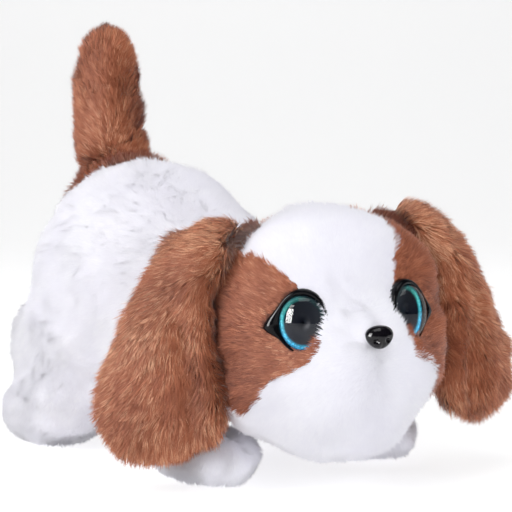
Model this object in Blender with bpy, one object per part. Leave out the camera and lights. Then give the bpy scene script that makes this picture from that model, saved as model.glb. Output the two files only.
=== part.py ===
"""Interactive plush puppy: sewn body over a plastic shell with batteries, board, speaker and tail drive.

The puppy faces -Y and +Z is up. Lengths below are in millimetres and are written to the scene in metres.
"""

import math

import bmesh
import bpy
import numpy as np
from mathutils import Matrix

MM = 0.001
ORIGIN = np.array([-1.2, 7.97, 0.0])  # centre of the footprint, in the frame the lengths below use

GAP = 0.4  # clearance between pieces that only lie against each other
RUNNING = 0.05  # radial clearance of a turning fit
SHARP = math.radians(42)  # edges that turn further than this stay crisp
PHASE = 0.17  # where the first corner of a turned shape stands, in radians

# Torso: the plush body as blended ellipsoids, each (centre, radii)
RUMP = ((0, 74, 69), (55, 59, 59))
CHEST = ((0, 12, 57), (48, 34, 44))
WAIST = ((0, 44, 59), (52, 50, 49))
TORSO_HEART = (0, 45, 60)
BLEND = 3.0

# Inner shell of the torso, a superellipsoid in two halves
SHELL_CENTRE = np.array([0.0, 57.0, 62.0])
SHELL_RADII = np.array([34.0, 60.0, 42.0])
SHELL_POWER = 3.0
WALL = 2.2

# Neck and head
NECK = np.array([0.0, -34.0, 0.0])  # the vertical axis the head turns on
NECK_TO_HEAD = 29.5
HEAD_HEIGHT = 64.0
HEAD_YAW = -18.0
HEAD_ROLL = -3.0
NOD_OFFSET = 17.5  # from the turning axis forward to the nodding axis
NOD_HEIGHT = 68.0
HEAD_HEART = (0, -12, -12)
CRANIUM = ((0, 0, 4), (48.5, 41, 48))
CRANIUM_BACK = 33.0
MUZZLE = ((0, -28, -14), (33, 26, 30))
CHIN = ((0, -20, -30), (30, 26, 24))
CHEEK = ((20, -8, -16), (27, 30, 24))
SKULL_CENTRE = np.array([0.0, -1.0, 3.0])
SKULL_RADII = np.array([38.0, 29.0, 37.0])
SKULL_BACK = 26.0
PATCH_THICKNESS = 3.0

# Eyes and nose, in the head's own frame
EYE_CENTRE = np.array([22.5, -33.0, 8.0])
EYE_YAW = 30.0
EYE_NARROW = 0.86
EYE_RADIUS = 12.6
NOSE_CENTRE = np.array([0.0, -53.0, 3.0])
NOSE_RADII = np.array([6.6, 4.4, 5.0])

# Tail and its drive
TAIL_PIVOT = np.array([0.0, 98.0, 86.0])
TAIL_WAY = np.array([0.0, 7.0, 103.0]) / math.hypot(7.0, 103.0)  # direction the tail stands in
MODULE = 1.0
SECTOR_TEETH = 36
SMALL_TEETH = 12
WHEEL_TEETH = 36
PINION_TEETH = 9
GEAR_HEIGHT = TAIL_PIVOT[2] - MODULE * (SECTOR_TEETH + SMALL_TEETH) / 2
PINION_X = -15.0
PIN_RADIUS = 2.0

# Batteries: three AAA cells side by side
CELL_RADIUS = 5.25
CELL_LENGTH = 44.5
CELL_PITCH = 11.5
BAY = (-20.0, 20.0, 42.0, 97.0, 20.0, 37.0)  # outside of the battery box: x, y and z limits


def rotation(axis, degrees):
    return np.array(Matrix.Rotation(math.radians(degrees), 3, axis))


YAW = rotation("Z", HEAD_YAW)
HEAD_CENTRE = NECK + YAW @ np.array([0, -NECK_TO_HEAD, 0]) + np.array([0, 0, HEAD_HEIGHT])
HEAD_TURN = YAW @ rotation("Y", HEAD_ROLL)


def place(rotate=None, move=(0, 0, 0)):
    """A function that carries points from a piece's own frame to the puppy's."""
    matrix = np.eye(3) if rotate is None else np.array(rotate)
    offset = np.array(move, float)
    return lambda points: np.asarray(points, float) @ matrix.T + offset


in_head = place(HEAD_TURN, HEAD_CENTRE)
in_yoke = place(YAW, NECK)


# ---------------------------------------------------------------- solids as (points, faces)


def moved(solid, carry):
    return carry(solid[0]), solid[1]


def box(x0, x1, y0, y1, z0, z1):
    points = [(x, y, z) for x in (x0, x1) for y in (y0, y1) for z in (z0, z1)]
    faces = [(0, 1, 3, 2), (4, 6, 7, 5), (0, 4, 5, 1), (2, 3, 7, 6), (0, 2, 6, 4), (1, 5, 7, 3)]
    return np.array(points, float), faces


def prism(outline, low, high, axis="Z"):
    """An outline drawn across an axis and run from low to high along it."""
    count = len(outline)
    order = {"Z": (0, 1, 2), "Y": (0, 2, 1), "X": (2, 0, 1)}[axis]
    flat = np.array([(u, v, h) for h in (low, high) for u, v in outline], float)
    faces = [tuple(range(count)), tuple(range(2 * count - 1, count - 1, -1))]
    faces += [(i, count + i, count + (i + 1) % count, (i + 1) % count) for i in range(count)]
    return flat[:, order], faces


def skin(rings, start=None, end=None, loop=False):
    """Rings of equal length joined in order, closed at the points start and end, or else by flat caps."""
    count = len(rings[0])
    points = [point for ring in rings for point in ring]
    faces = []
    spans = len(rings) if loop else len(rings) - 1
    for r in range(spans):
        a, b = r * count, ((r + 1) % len(rings)) * count
        faces += [(a + i, a + (i + 1) % count, b + (i + 1) % count, b + i) for i in range(count)]
    last = (len(rings) - 1) * count
    if start is not None:
        points.append(start)
        faces += [(len(points) - 1, (i + 1) % count, i) for i in range(count)]
    elif not loop:
        faces.append(tuple(range(count - 1, -1, -1)))
    if end is not None:
        points.append(end)
        faces += [(len(points) - 1, last + i, last + (i + 1) % count) for i in range(count)]
    elif not loop:
        faces.append(tuple(last + i for i in range(count)))
    return np.array(points, float), faces


def triangles(solid):
    """Every quad split the same way, so that two offsets of one skin never cross."""
    split = []
    for face in solid[1]:
        split += [(face[0], face[i], face[i + 1]) for i in range(1, len(face) - 1)]
    return solid[0], split


def frame_along(direction):
    z = np.array(direction, float) / np.linalg.norm(direction)
    helper = np.array([1.0, 0, 0]) if abs(z[0]) < 0.9 else np.array([0, 1.0, 0])
    x = np.cross(helper, z)
    x /= np.linalg.norm(x)
    return np.stack([x, np.cross(z, x), z], axis=1)


def lathe(profile, segments, base=(0, 0, 0), direction=(0, 0, 1)):
    """(radius, height) pairs turned round an axis, closed at the ends where the radius is 0."""
    turns = [PHASE + 2 * math.pi * i / segments for i in range(segments)]
    closed = profile[0][0] > 0
    inner = profile if closed else profile[1:-1]
    rings = [[(r * math.cos(t), r * math.sin(t), h) for t in turns] for r, h in inner]
    ends = (None, None) if closed else ((0, 0, profile[0][1]), (0, 0, profile[-1][1]))
    return moved(skin(rings, *ends, loop=closed), place(frame_along(direction), base))


def rod(start, end, radius, segments=12):
    along = np.array(end, float) - np.array(start, float)
    length = np.linalg.norm(along)
    return lathe([(0, 0), (radius, 0), (radius, length), (0, length)], segments, start, along)


def tube(start, end, outer, inner, segments=18):
    along = np.array(end, float) - np.array(start, float)
    length = np.linalg.norm(along)
    return lathe([(outer, 0), (outer, length), (inner, length), (inner, 0)], segments, start, along)


def ellipsoid(centre, radii, segments=16, rings=9):
    steps = [math.pi * (i / rings - 0.5) for i in range(rings + 1)]
    profile = [(0, -1)] + [(math.cos(s), math.sin(s)) for s in steps[1:-1]] + [(0, 1)]
    points, faces = lathe(profile, segments)
    return points * np.array(radii) + np.array(centre), faces


def screw(start, direction, head_radius, head_height, radius, length):
    """A pan-head screw: start is the top of its head."""
    profile = [(0, 0), (head_radius * 0.7, 0), (head_radius, head_height * 0.4), (head_radius, head_height),
               (radius, head_height), (radius, length - radius), (0, length)]
    return lathe(profile, 10, start, direction)


def reach(origin, directions, centre, radii, back=None):
    """How far a ray from origin runs inside an ellipsoid. back is the radius of its half towards +Y."""
    size = np.tile(np.array(radii, float), (len(directions), 1))
    start = np.array(origin, float) - np.array(centre, float)
    for _ in range(2):
        a = ((directions / size) ** 2).sum(1)
        b = (directions / size * (start / size)).sum(1)
        c = ((start / size) ** 2).sum(1) - 1
        far = (-b + np.sqrt(np.maximum(b * b - a * c, 0))) / a
        if back is None:
            return far
        size[:, 1] = np.where(start[1] + far * directions[:, 1] > 0, back, radii[1])
    return far


def sphere_rows(turns, tilts):
    """Unit directions, one row of turns for each tilt above the horizon."""
    level = np.stack([np.cos(turns), np.sin(turns), np.zeros(len(turns))], 1)
    return [level * math.cos(t) + np.array([0, 0, math.sin(t)]) for t in tilts]


def blended(origin, blobs, offset=0.0, around=28, up=18, floor=None):
    """A closed skin round ellipsoids that all hold origin, seen as one rounded body."""
    turns = np.linspace(0, 2 * math.pi, around, endpoint=False)
    tilts = np.linspace(-math.pi / 2, math.pi / 2, up + 1)[1:-1]
    rows = sphere_rows(turns, tilts)
    directions = np.concatenate(rows + [np.array([[0, 0, -1.0], [0, 0, 1.0]])])
    lengths = np.stack([reach(origin, directions, *blob) for blob in blobs])
    longest = lengths.max(0)
    far = longest + BLEND * np.log(np.exp((lengths - longest) / BLEND).sum(0)) + offset
    points = np.array(origin, float) + directions * far[:, None]
    if floor is not None:
        points[:, 2] = np.maximum(points[:, 2], floor)
    rings = [points[i * around:(i + 1) * around] for i in range(len(tilts))]
    return triangles(skin(rings, points[-2], points[-1]))


def superellipsoid_rings(radii, power, tilts, around):
    turns = np.linspace(0, 2 * math.pi, around, endpoint=False)
    return [row * ((np.abs(row / radii) ** power).sum(1) ** (-1 / power))[:, None]
            for row in sphere_rows(turns, tilts)]


def superellipsoid(centre, radii, power, around=24, up=12):
    tilts = np.linspace(-math.pi / 2, math.pi / 2, up + 1)[1:-1]
    rings = superellipsoid_rings(radii, power, tilts, around)
    points, faces = skin(rings, (0, 0, -radii[2]), (0, 0, radii[2]))
    return points + centre, faces


def half_shell(radii, power, wall, split, around=24, up=6):
    """The upper half of a hollow superellipsoid, about its own centre, with its rim at height split."""
    tilts = np.linspace(0, math.pi / 2, up + 1)[:-1]
    outer = superellipsoid_rings(np.array(radii, float), power, tilts, around)
    inner = superellipsoid_rings(np.array(radii, float) - wall, power, tilts, around)
    for ring in (outer[0], inner[0]):
        ring[:, 2] = split
    points = np.concatenate(outer + inner + [np.array([[0, 0, radii[2]], [0, 0, radii[2] - wall]])])
    count = len(tilts)
    faces = []
    for layer in (0, count * around):
        for r in range(count - 1):
            a = layer + r * around
            faces += [(a + i, a + (i + 1) % around, a + around + (i + 1) % around, a + around + i)
                      for i in range(around)]
        top = 2 * count * around + (layer > 0)
        a = layer + (count - 1) * around
        faces += [(a + i, a + (i + 1) % around, top) for i in range(around)]
    inside = count * around
    faces += [(i, (i + 1) % around, inside + (i + 1) % around, inside + i) for i in range(around)]
    return points, faces


def tooth_angles(teeth):
    """(angle from the tooth's middle, radius) round one tooth, as shares of the tooth pitch."""
    pitch = 2 * math.pi / teeth
    radius = MODULE * teeth / 2
    root, tip = radius - 1.2 * MODULE, radius + 0.85 * MODULE
    return [(-0.30 * pitch, root), (-0.09 * pitch, tip), (0.09 * pitch, tip), (0.30 * pitch, root)]


def gear_outline(teeth, centre, first, count=None):
    """The outline of a spur gear in x and z. first is the direction of one tooth, in radians from +X."""
    outline = []
    for k in range(teeth if count is None else count):
        middle = first + 2 * math.pi * k / teeth
        outline += [(centre[0] + r * math.cos(middle + a), centre[1] + r * math.sin(middle + a))
                    for a, r in tooth_angles(teeth)]
    return outline


# ---------------------------------------------------------------- objects

MATERIALS = {
    "white_plush": ((0.86, 0.85, 0.88, 1), 0.95, 0.0),
    "brown_plush": ((0.36, 0.13, 0.06, 1), 0.95, 0.0),
    "shell_plastic": ((0.78, 0.78, 0.76, 1), 0.45, 0.0),
    "black_plastic": ((0.01, 0.01, 0.012, 1), 0.12, 0.0),
    "gear_plastic": ((0.75, 0.72, 0.62, 1), 0.4, 0.0),
    "iris_print": ((0.02, 0.32, 0.42, 1), 0.25, 0.0),
    "clear_dome": ((0.9, 0.95, 1.0, 1), 0.03, 0.0),
    "steel": ((0.6, 0.6, 0.62, 1), 0.3, 1.0),
    "board_green": ((0.02, 0.2, 0.07, 1), 0.5, 0.0),
    "board_black": ((0.03, 0.03, 0.03, 1), 0.5, 0.0),
    "cell_wrap": ((0.45, 0.46, 0.5, 1), 0.35, 0.0),
    "paper_cone": ((0.08, 0.08, 0.08, 1), 0.8, 0.0),
}


def material(slot):
    found = bpy.data.materials.get(slot)
    if found:
        return found
    colour, roughness, metallic = MATERIALS[slot]
    made = bpy.data.materials.new(slot)
    made.use_nodes = True
    shader = made.node_tree.nodes["Principled BSDF"]
    shader.inputs["Base Color"].default_value = colour
    shader.inputs["Roughness"].default_value = roughness
    shader.inputs["Metallic"].default_value = metallic
    made.diffuse_color = colour
    return made


def make(name, solids, slot=None, pivot=ORIGIN):
    """One object with its origin at pivot, or a hidden helper when it has no material slot."""
    bm = bmesh.new()
    for points, faces in solids:
        verts = [bm.verts.new((np.asarray(p) - pivot) * MM) for p in points]
        for face in faces:
            bm.faces.new([verts[i] for i in face])
    bmesh.ops.recalc_face_normals(bm, faces=bm.faces)
    mesh = bpy.data.meshes.new(name)
    bm.to_mesh(mesh)
    bm.free()
    mesh.shade_smooth()
    mesh.set_sharp_from_angle(angle=SHARP)
    obj = bpy.data.objects.new(name, mesh)
    obj.location = (np.asarray(pivot) - ORIGIN) * MM
    bpy.context.scene.collection.objects.link(obj)
    if slot:
        obj.data.materials.append(material(slot))
    else:
        obj.hide_render = True
        obj.display_type = "WIRE"
    return obj


def change(obj, operation, solids, solver="EXACT"):
    """Adds to, cuts or trims an object by helpers that don't touch each other."""
    number = len(obj.modifiers)
    helper = make(f"{obj.name}_{operation.lower()}_{number}", solids)
    modifier = obj.modifiers.new(f"{operation.lower()}_{number}", "BOOLEAN")
    modifier.operation = operation
    modifier.solver = solver
    modifier.object = helper


def join(obj, *solids, **options):
    change(obj, "UNION", solids, **options)


def cut(obj, *solids, **options):
    change(obj, "DIFFERENCE", solids, **options)


def trim(obj, *solids):
    change(obj, "INTERSECT", solids)


def sides(solid):
    """A solid and its mirror image across the puppy's middle."""
    return [solid, (solid[0] * np.array([-1, 1, 1]), [face[::-1] for face in solid[1]])]


def hang(name, pivot, members):
    """Parents objects to an empty that stands on the axis they turn about, without moving them."""
    axis = bpy.data.objects.new(name, None)
    axis.location = (np.asarray(pivot) - ORIGIN) * MM
    axis.empty_display_size = 0.01
    bpy.context.scene.collection.objects.link(axis)
    for member in members:
        member.location = member.location - axis.location
        member.parent = axis


# ---------------------------------------------------------------- torso plush and legs


def torso_skin(offset, around=24, up=15):
    return blended(TORSO_HEART, (RUMP, CHEST, WAIST), offset, around, up)


def build_torso():
    torso = make("torso_plush", [torso_skin(0.0)], "white_plush")
    cut(torso, superellipsoid(SHELL_CENTRE, SHELL_RADII + 1.0, SHELL_POWER))
    cut(torso, box(-25, 34, 39, 105, -10, 40))
    cut(torso, rod((0, -60, 50), (0, 20, 50), 11.5, 18))
    cut(torso, box(-13, 13, -10, 12, 38, 74))
    cut(torso, prism([(-9, 80), (9, 80), (18.5, 132), (-18.5, 132)], 91, 107, "Y"))
    cut(torso, rod((0, 56, 90), (0, 56, 111.5), 10, 16))


def build_legs():
    for side, sign in (("right", -1), ("left", 1)):
        paw = ((sign * 43.3, -27, 12), (17.4, 31, 14))
        shin = ((sign * 41, 0, 28), (17, 23, 26))
        leg = make(f"front_leg_{side}", [blended((sign * 43, -14, 14), (paw, shin), 0, 22, 12, 0.0)],
                   "white_plush")
        cut(leg, torso_skin(GAP))
        foot = ((sign * 53, 74, 17), (22, 29, 18.5))
        thigh = ((sign * 40, 84, 40), (21, 34, 32))
        leg = make(f"rear_leg_{side}", [blended((sign * 48, 78, 28), (foot, thigh), 0, 18, 11, 0.0)],
                   "white_plush")
        cut(leg, torso_skin(GAP))


# ---------------------------------------------------------------- inner shell, power and sound

SCREW_SPOTS = [(-23.4, 21), (23.4, 21), (-22.4, 99.5), (22.4, 99.5)]
NECK_SCREWS = [(0, 56), (0, 68)]
BOARD_SPOTS = [(-14, 16), (14, 16), (-14, 53), (14, 53)]
BOARD_HEIGHT = 44.0
SPEAKER = np.array([0.0, 27.0, 31.0])
SWITCH_X = 26.0
SWITCH_Y = 71.0


def build_shell():
    # The lower half takes the MANIFOLD solver: EXACT leaves it open where the bosses meet the curved wall.
    rim = 0.15
    middle = SHELL_CENTRE[2]
    half = half_shell(SHELL_RADII, SHELL_POWER, WALL, rim)
    centre = np.array([0, SPEAKER[1], 0])
    ring = [centre + (7 * math.cos(a), 7 * math.sin(a), 0) for a in np.arange(4) * math.pi / 2]
    lower = make("chassis_lower", [moved(half, place(rotation("X", 180), SHELL_CENTRE))], "shell_plastic")
    join(lower,
         box(*BAY),
         *[rod((x, y, 39), (x, y, middle - 0.3), 3.4, 10) for x, y in SCREW_SPOTS],
         tube((0, SPEAKER[1], 27.4), (0, SPEAKER[1], SPEAKER[2] - 0.3), 13.4, 11.2),
         *[rod((x, y, 29.6), (x, y, BOARD_HEIGHT - 0.3), 2.4) for x, y in BOARD_SPOTS[:2]],
         *[rod((x, -3, z), (x, 6, z), 3) for x, z in NECK_SCREWS[:1]],
         solver="MANIFOLD")
    join(lower,
         box(18.6, 31.5, 61, 81, 22.8, 34),
         rod((0, 100, 20.6), (0, 100, 33), 3.6),
         *[rod((x, y, 35), (x, y, BOARD_HEIGHT - 0.3), 2.4) for x, y in BOARD_SPOTS[2:]],
         solver="MANIFOLD")
    cut(lower,
        box(-17.8, 17.8, 44.2, 94.8, 10, 35),
        box(22.2, 29.9, 62.5, 79.5, 24.6, 45),
        *[rod((x, y, 10), (x, y, 52), 2.9) for x, y in SCREW_SPOTS],
        rod((0, 100, 21.9), (0, 100, 30), 1.2),
        *[rod((x, -20, z), (x, 4, z), 1.25) for x, z in NECK_SCREWS[:1]],
        *[rod((x, y, 38), (x, y, 60), 0.9) for x, y in BOARD_SPOTS],
        *[rod(spot + (0, 0, 15), spot + (0, 0, 28.5), 1.6, 8) for spot in ring + [centre]],
        solver="MANIFOLD")
    cut(lower,
        *[rod((x, y, 51), (x, y, 70), 1.4) for x, y in SCREW_SPOTS],
        box(-4.6, 4.6, 94, 104.5, 10, 22),
        box(SWITCH_X - 1.4, SWITCH_X + 1.4, SWITCH_Y - 3.6, SWITCH_Y + 3.6, 20, 30),
        solver="MANIFOLD")

    upper = make("chassis_upper", [moved(half, place(None, SHELL_CENTRE))], "shell_plastic")
    join(upper,
         *[rod((x, y, middle + 0.3), (x, y, 84), 3.4, 10) for x, y in SCREW_SPOTS],
         *[rod((x, -3, z), (x, 6, z), 3) for x, z in NECK_SCREWS[1:]],
         *sides(box(6, 8, 53, 59, 88.5, 103)))
    join(upper, box(-7, 7, 52, 60, 88.3, 90.5))
    cut(upper,
        *[rod((x, y, 55), (x, y, 76), 1.3) for x, y in SCREW_SPOTS],
        *[rod((x, -20, z), (x, 4, z), 1.25) for x, z in NECK_SCREWS[1:]],
        prism([(-9, 80), (9, 80), (15, 112), (-15, 112)], 92, 104, "Y"),
        rod((0, 56, 95), (0, 56, 120), 3.5))
    for number, (x, y) in enumerate(SCREW_SPOTS, 1):
        make(f"chassis_screw_{number}", [screw((x, y, 50.2), (0, 0, 1), 2.5, 1.7, 1.15, 22)], "steel")


def build_power():
    door = make("battery_door", [box(-17.4, 17.4, 44.6, 94.4, 20.2, 21.8)], "shell_plastic")
    join(door, box(-4.2, 4.2, 93, 104, 20.2, 21.6))
    cut(door, rod((0, 100, 10), (0, 100, 30), 1.3))
    make("battery_door_screw", [screw((0, 100, 18.3), (0, 0, 1), 2.5, 1.6, 1.0, 9)], "steel")
    start = 48.2
    for number, i in enumerate((-1, 0, 1), 1):
        profile = [(0, 0), (CELL_RADIUS - 0.8, 0), (CELL_RADIUS, 0.6), (CELL_RADIUS, CELL_LENGTH - 1.6),
                   (CELL_RADIUS - 0.8, CELL_LENGTH - 1.0), (1.9, CELL_LENGTH - 1.0), (1.9, CELL_LENGTH),
                   (0, CELL_LENGTH)]
        flip = i == 0
        base = (i * CELL_PITCH, start + (CELL_LENGTH if flip else 0), 28.6)
        make(f"battery_{number}", [lathe(profile, 14, base, (0, -1 if flip else 1, 0))], "cell_wrap")
    for name, y in (("front", 44.8), ("rear", 93.6)):
        strip = make(f"battery_contact_{name}", [box(-16.6, 16.6, y, y + 0.5, 31.6, 33.6)], "steel")
        join(strip, *[box(x - 4, x + 4, y - 0.1, y + 0.6, 24.6, 32.6) for x in (-CELL_PITCH, 0, CELL_PITCH)])

    x, y = SWITCH_X, SWITCH_Y
    make("power_switch", [box(x - 3.3, x + 3.3, y - 6, y + 6, 27.6, 31.4)], "steel")
    make("power_slider", [box(x - 1.0, x + 1.0, y - 3.2, y + 0.4, 22.6, 27.3)], "black_plastic", (x, y, 25))


def build_board():
    board = make("circuit_board", [box(-19.6, 19.6, 11, 57, BOARD_HEIGHT, BOARD_HEIGHT + 1.6)],
                 "board_green")
    cut(board, *[rod((x, y, 40), (x, y, 50), 1.1, 14) for x, y in BOARD_SPOTS])
    top = BOARD_HEIGHT + 1.9
    make("main_chip", [box(-8, 8, 22, 38, top, top + 1.6)], "board_black")
    for number, (x, y) in enumerate(BOARD_SPOTS[::3], 1):
        make(f"board_screw_{number}", [screw((x, y, BOARD_HEIGHT + 3.1), (0, 0, -1), 1.9, 1.2, 0.8, 7)],
             "steel")
    x, y, z = SPEAKER
    basket = [(13.0, 0), (13.0, 1.2), (12.2, 1.6), (8.6, 5.2), (4.4, 5.2), (4.4, 4.2), (7.8, 4.2), (11.0, 0)]
    cone = [(0, 1.2), (4, 1.2), (10.0, -0.6), (10.6, -0.4), (10.4, 0.1), (4, 1.7), (0, 1.7)]
    make("speaker_frame", [lathe(basket, 20, (x, y, z))], "steel")
    make("speaker_cone", [lathe(cone, 20, (x, y, z))], "paper_cone")
    make("speaker_magnet", [rod((x, y, z + 5.5), (x, y, z + 9.5), 6.5, 16)], "steel")


# ---------------------------------------------------------------- touch sensor on the back


def build_button():
    x, y = 0, 56
    profile = [(0, 97), (2.9, 97), (2.9, 106.2), (8.4, 106.2), (8.4, 107.2), (6.5, 109), (3, 109.8), (0, 110)]
    make("back_button", [lathe(profile, 18, (x, y, 0))], "black_plastic", (x, y, 100))
    switch = make("button_switch", [box(-3, 3, y - 3, y + 3, 90.8, 94.2)], "board_black")
    join(switch, rod((x, y, 93), (x, y, 95.2), 1.7))


# ---------------------------------------------------------------- tail drive


def build_drive():
    gear = (0.0, GEAR_HEIGHT)
    drop = math.sqrt((MODULE * (WHEEL_TEETH + PINION_TEETH) / 2) ** 2 - PINION_X ** 2)
    pinion = (PINION_X, GEAR_HEIGHT - drop)
    pinion_way = math.atan2(-drop, PINION_X)

    hub = rod((0, 94.6, TAIL_PIVOT[2]), (0, 101.8, TAIL_PIVOT[2]), 5.5, 20)
    lever = make("tail_lever", [hub], "gear_plastic", TAIL_PIVOT)
    half = 4
    first = -math.pi / 2 - half * 2 * math.pi / SECTOR_TEETH
    teeth = gear_outline(SECTOR_TEETH, (0, TAIL_PIVOT[2]), first, 2 * half + 1)
    join(lever, prism([(3.5, TAIL_PIVOT[2]), (-3.5, TAIL_PIVOT[2])] + teeth, 96, 100, "Y"))
    join(lever, rod(TAIL_PIVOT + TAIL_WAY * 3.5, TAIL_PIVOT + TAIL_WAY * 82, 3.6))
    cut(lever, rod((0, 80, TAIL_PIVOT[2]), (0, 120, TAIL_PIVOT[2]), PIN_RADIUS + RUNNING, 20))

    wheel = prism(gear_outline(WHEEL_TEETH, gear, pinion_way), 90.5, 93.6, "Y")
    small = prism(gear_outline(SMALL_TEETH, gear, math.pi / 2 + math.pi / SMALL_TEETH), 93, 100.6, "Y")
    compound = make("compound_gear", [wheel], "gear_plastic", (0, TAIL_PIVOT[1], gear[1]))
    join(compound, small)
    cut(compound, rod((0, 80, gear[1]), (0, 120, gear[1]), PIN_RADIUS + RUNNING, 20))

    teeth = gear_outline(PINION_TEETH, pinion, pinion_way + math.pi + math.pi / PINION_TEETH)
    drive = make("motor_pinion", [prism(teeth, 89.6, 94.5, "Y")], "gear_plastic", (pinion[0], 92, pinion[1]))
    join(drive, rod((pinion[0], 72, pinion[1]), (pinion[0], 95.5, pinion[1]), 1.0, 12))

    can = rod((pinion[0], 61, pinion[1]), (pinion[0], 85.1, pinion[1]), 7.6, 18)
    motor = make("motor_can", [can], "steel")
    trim(motor, box(pinion[0] - 10, pinion[0] + 10, 50, 100, pinion[1] - 7.3, pinion[1] + 7.3))
    cut(motor, rod((pinion[0], 70, pinion[1]), (pinion[0], 90, pinion[1]), 1.3, 16))

    for name, z in (("gear_shaft", gear[1]), ("tail_pivot_pin", TAIL_PIVOT[2])):
        make(name, [rod((0, 85.6, z), (0, 105.4, z), PIN_RADIUS, 16)], "steel")

    posts = [(-9.2, 85.4), (9.2, 85.4), (0.0, 39.8)]
    outline = [(-23, 38.4), (12, 38.4), (12, 76), (13.5, 82), (13.5, 89.5), (-13.5, 89.5), (-13.5, 82),
               (-12, 76), (-12, 60), (-23, 56)]
    front = make("gearbox_front_plate", [prism(outline, 85.5, 87.5, "Y")], "gear_plastic")
    join(front, box(-20, -4, 86.2, 89.2, 37.4, 39.4))
    cut(front, *[rod((0, 80, z), (0, 92, z), PIN_RADIUS + RUNNING, 20) for z in (gear[1], TAIL_PIVOT[2])],
        rod((pinion[0], 80, pinion[1]), (pinion[0], 92, pinion[1]), 3.2, 14))
    outline = [(-4, 38), (4, 38), (8, 52), (8, 78), (11, 82), (11, 87.4), (-11, 87.4), (-11, 82), (-8, 78),
               (-8, 52)]
    rear = make("gearbox_rear_plate", [prism(outline, 103.5, 105.5, "Y")], "gear_plastic")
    join(rear, *[rod((x, 87.8, z), (x, 104.5, z), 1.5, 10) for x, z in posts])
    cut(rear, *[rod((0, 95, z), (0, 112, z), PIN_RADIUS + RUNNING, 20) for z in (gear[1], TAIL_PIVOT[2])])


def build_tail():
    frame = frame_along(TAIL_WAY)
    turns = np.linspace(0, 2 * math.pi, 18, endpoint=False)
    widths = ((20, 13), (30, 15.4), (42, 16.4), (56, 16.6), (70, 16), (82, 15), (91, 12.6), (98, 8.5))
    rings = []
    for height, radius in widths:
        circle = np.stack([radius * np.cos(turns), radius * np.sin(turns), np.full(18, height)], 1)
        rings.append(place(frame, TAIL_PIVOT)(circle))
    plume = skin(rings, TAIL_PIVOT + TAIL_WAY * 20, TAIL_PIVOT + TAIL_WAY * 102)
    tail = make("tail_plush", [plume], "brown_plush", TAIL_PIVOT)
    cut(tail, torso_skin(2.6))
    cut(tail, rod(TAIL_PIVOT, TAIL_PIVOT + TAIL_WAY * 83, 4.0))


# ---------------------------------------------------------------- neck and head


def nod_rod(left, right, radius, segments):
    """A rod along the nodding axis, from left to right of the neck."""
    ends = [(x, -NOD_OFFSET, NOD_HEIGHT) for x in (left, right)]
    return moved(rod(*ends, radius, segments), in_yoke)


def build_neck():
    bracket = make("neck_bracket", [box(-5, 5, NECK[1], -6, 43, 50)], "shell_plastic")
    join(bracket, box(-12, 12, -8, -4.6, 40, 73))
    join(bracket, lathe([(0, 43.5), (9, 43.5), (9, 50.4), (4, 50.4), (4, 60), (0, 60)], 20, NECK))
    cut(bracket, *[rod((x, -20, z), (x, 0, z), 1.3, 16) for x, z in NECK_SCREWS])
    for number, (x, z) in enumerate(NECK_SCREWS, 1):
        make(f"neck_screw_{number}", [screw((x, -9.8, z), (0, 1, 0), 2.2, 1.5, 1.0, 12)], "steel")

    hub = moved(rod((0, 0, 50.8), (0, 0, 64), 8, 20), in_yoke)
    yoke = make("neck_yoke", [hub], "shell_plastic", NECK + (0, 0, 57))
    join(yoke, moved(box(-5, 5, -NOD_OFFSET, -2, 57, 66.5), in_yoke))
    join(yoke, nod_rod(-12, 12, 4.6, 16))
    cut(yoke, moved(rod((0, 0, 40), (0, 0, 60.5), 4 + RUNNING, 24), in_yoke),
        nod_rod(-40, 40, PIN_RADIUS + RUNNING, 20))
    make("nod_pin", [nod_rod(-20, 20, PIN_RADIUS, 16)], "steel")


def head_skin(offset, around=24, up=16):
    cheeks = [((sign * CHEEK[0][0],) + CHEEK[0][1:], CHEEK[1]) for sign in (-1, 1)]
    blobs = [CRANIUM + (CRANIUM_BACK,), MUZZLE, CHIN] + cheeks
    return moved(blended(HEAD_HEART, blobs, offset - 2.0, around, up), in_head)


def patch_outline(grow=0.0):
    """The brown panel round the left eye, seen from the front, as (x, z)."""
    inner = [(29, 62), (26, 44), (20, 32), (15, 20), (12.5, 8), (15, -3), (23, -13), (30, -22)]
    return [(x - grow, z - grow * (i == 7)) for i, (x, z) in enumerate(inner)] + [(70, -26 - grow), (70, 62)]


def eye_frame(sign):
    turn = HEAD_TURN @ rotation("Z", sign * EYE_YAW) @ rotation("X", 90) @ rotation("X", -4)
    centre = in_head(EYE_CENTRE * np.array([sign, 1, 1]))
    carry = place(turn, centre)
    return lambda solid: (carry(solid[0] * np.array([EYE_NARROW, 1, 1])), solid[1])


def ear_anchor(sign):
    return in_head(np.array([(sign * 22, 3.5, 27.5), (sign * 32.0, 5.6, 38.2)]))


def skull_half(front):
    radii = np.array([SKULL_RADII[0], SKULL_RADII[2], SKULL_RADII[1] if front else SKULL_BACK])
    turn = rotation("X", 90 if front else -90)
    shell = moved(half_shell(radii, 2.0, 2.0, 0.15), place(turn, SKULL_CENTRE))
    return moved(shell, in_head)


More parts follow.
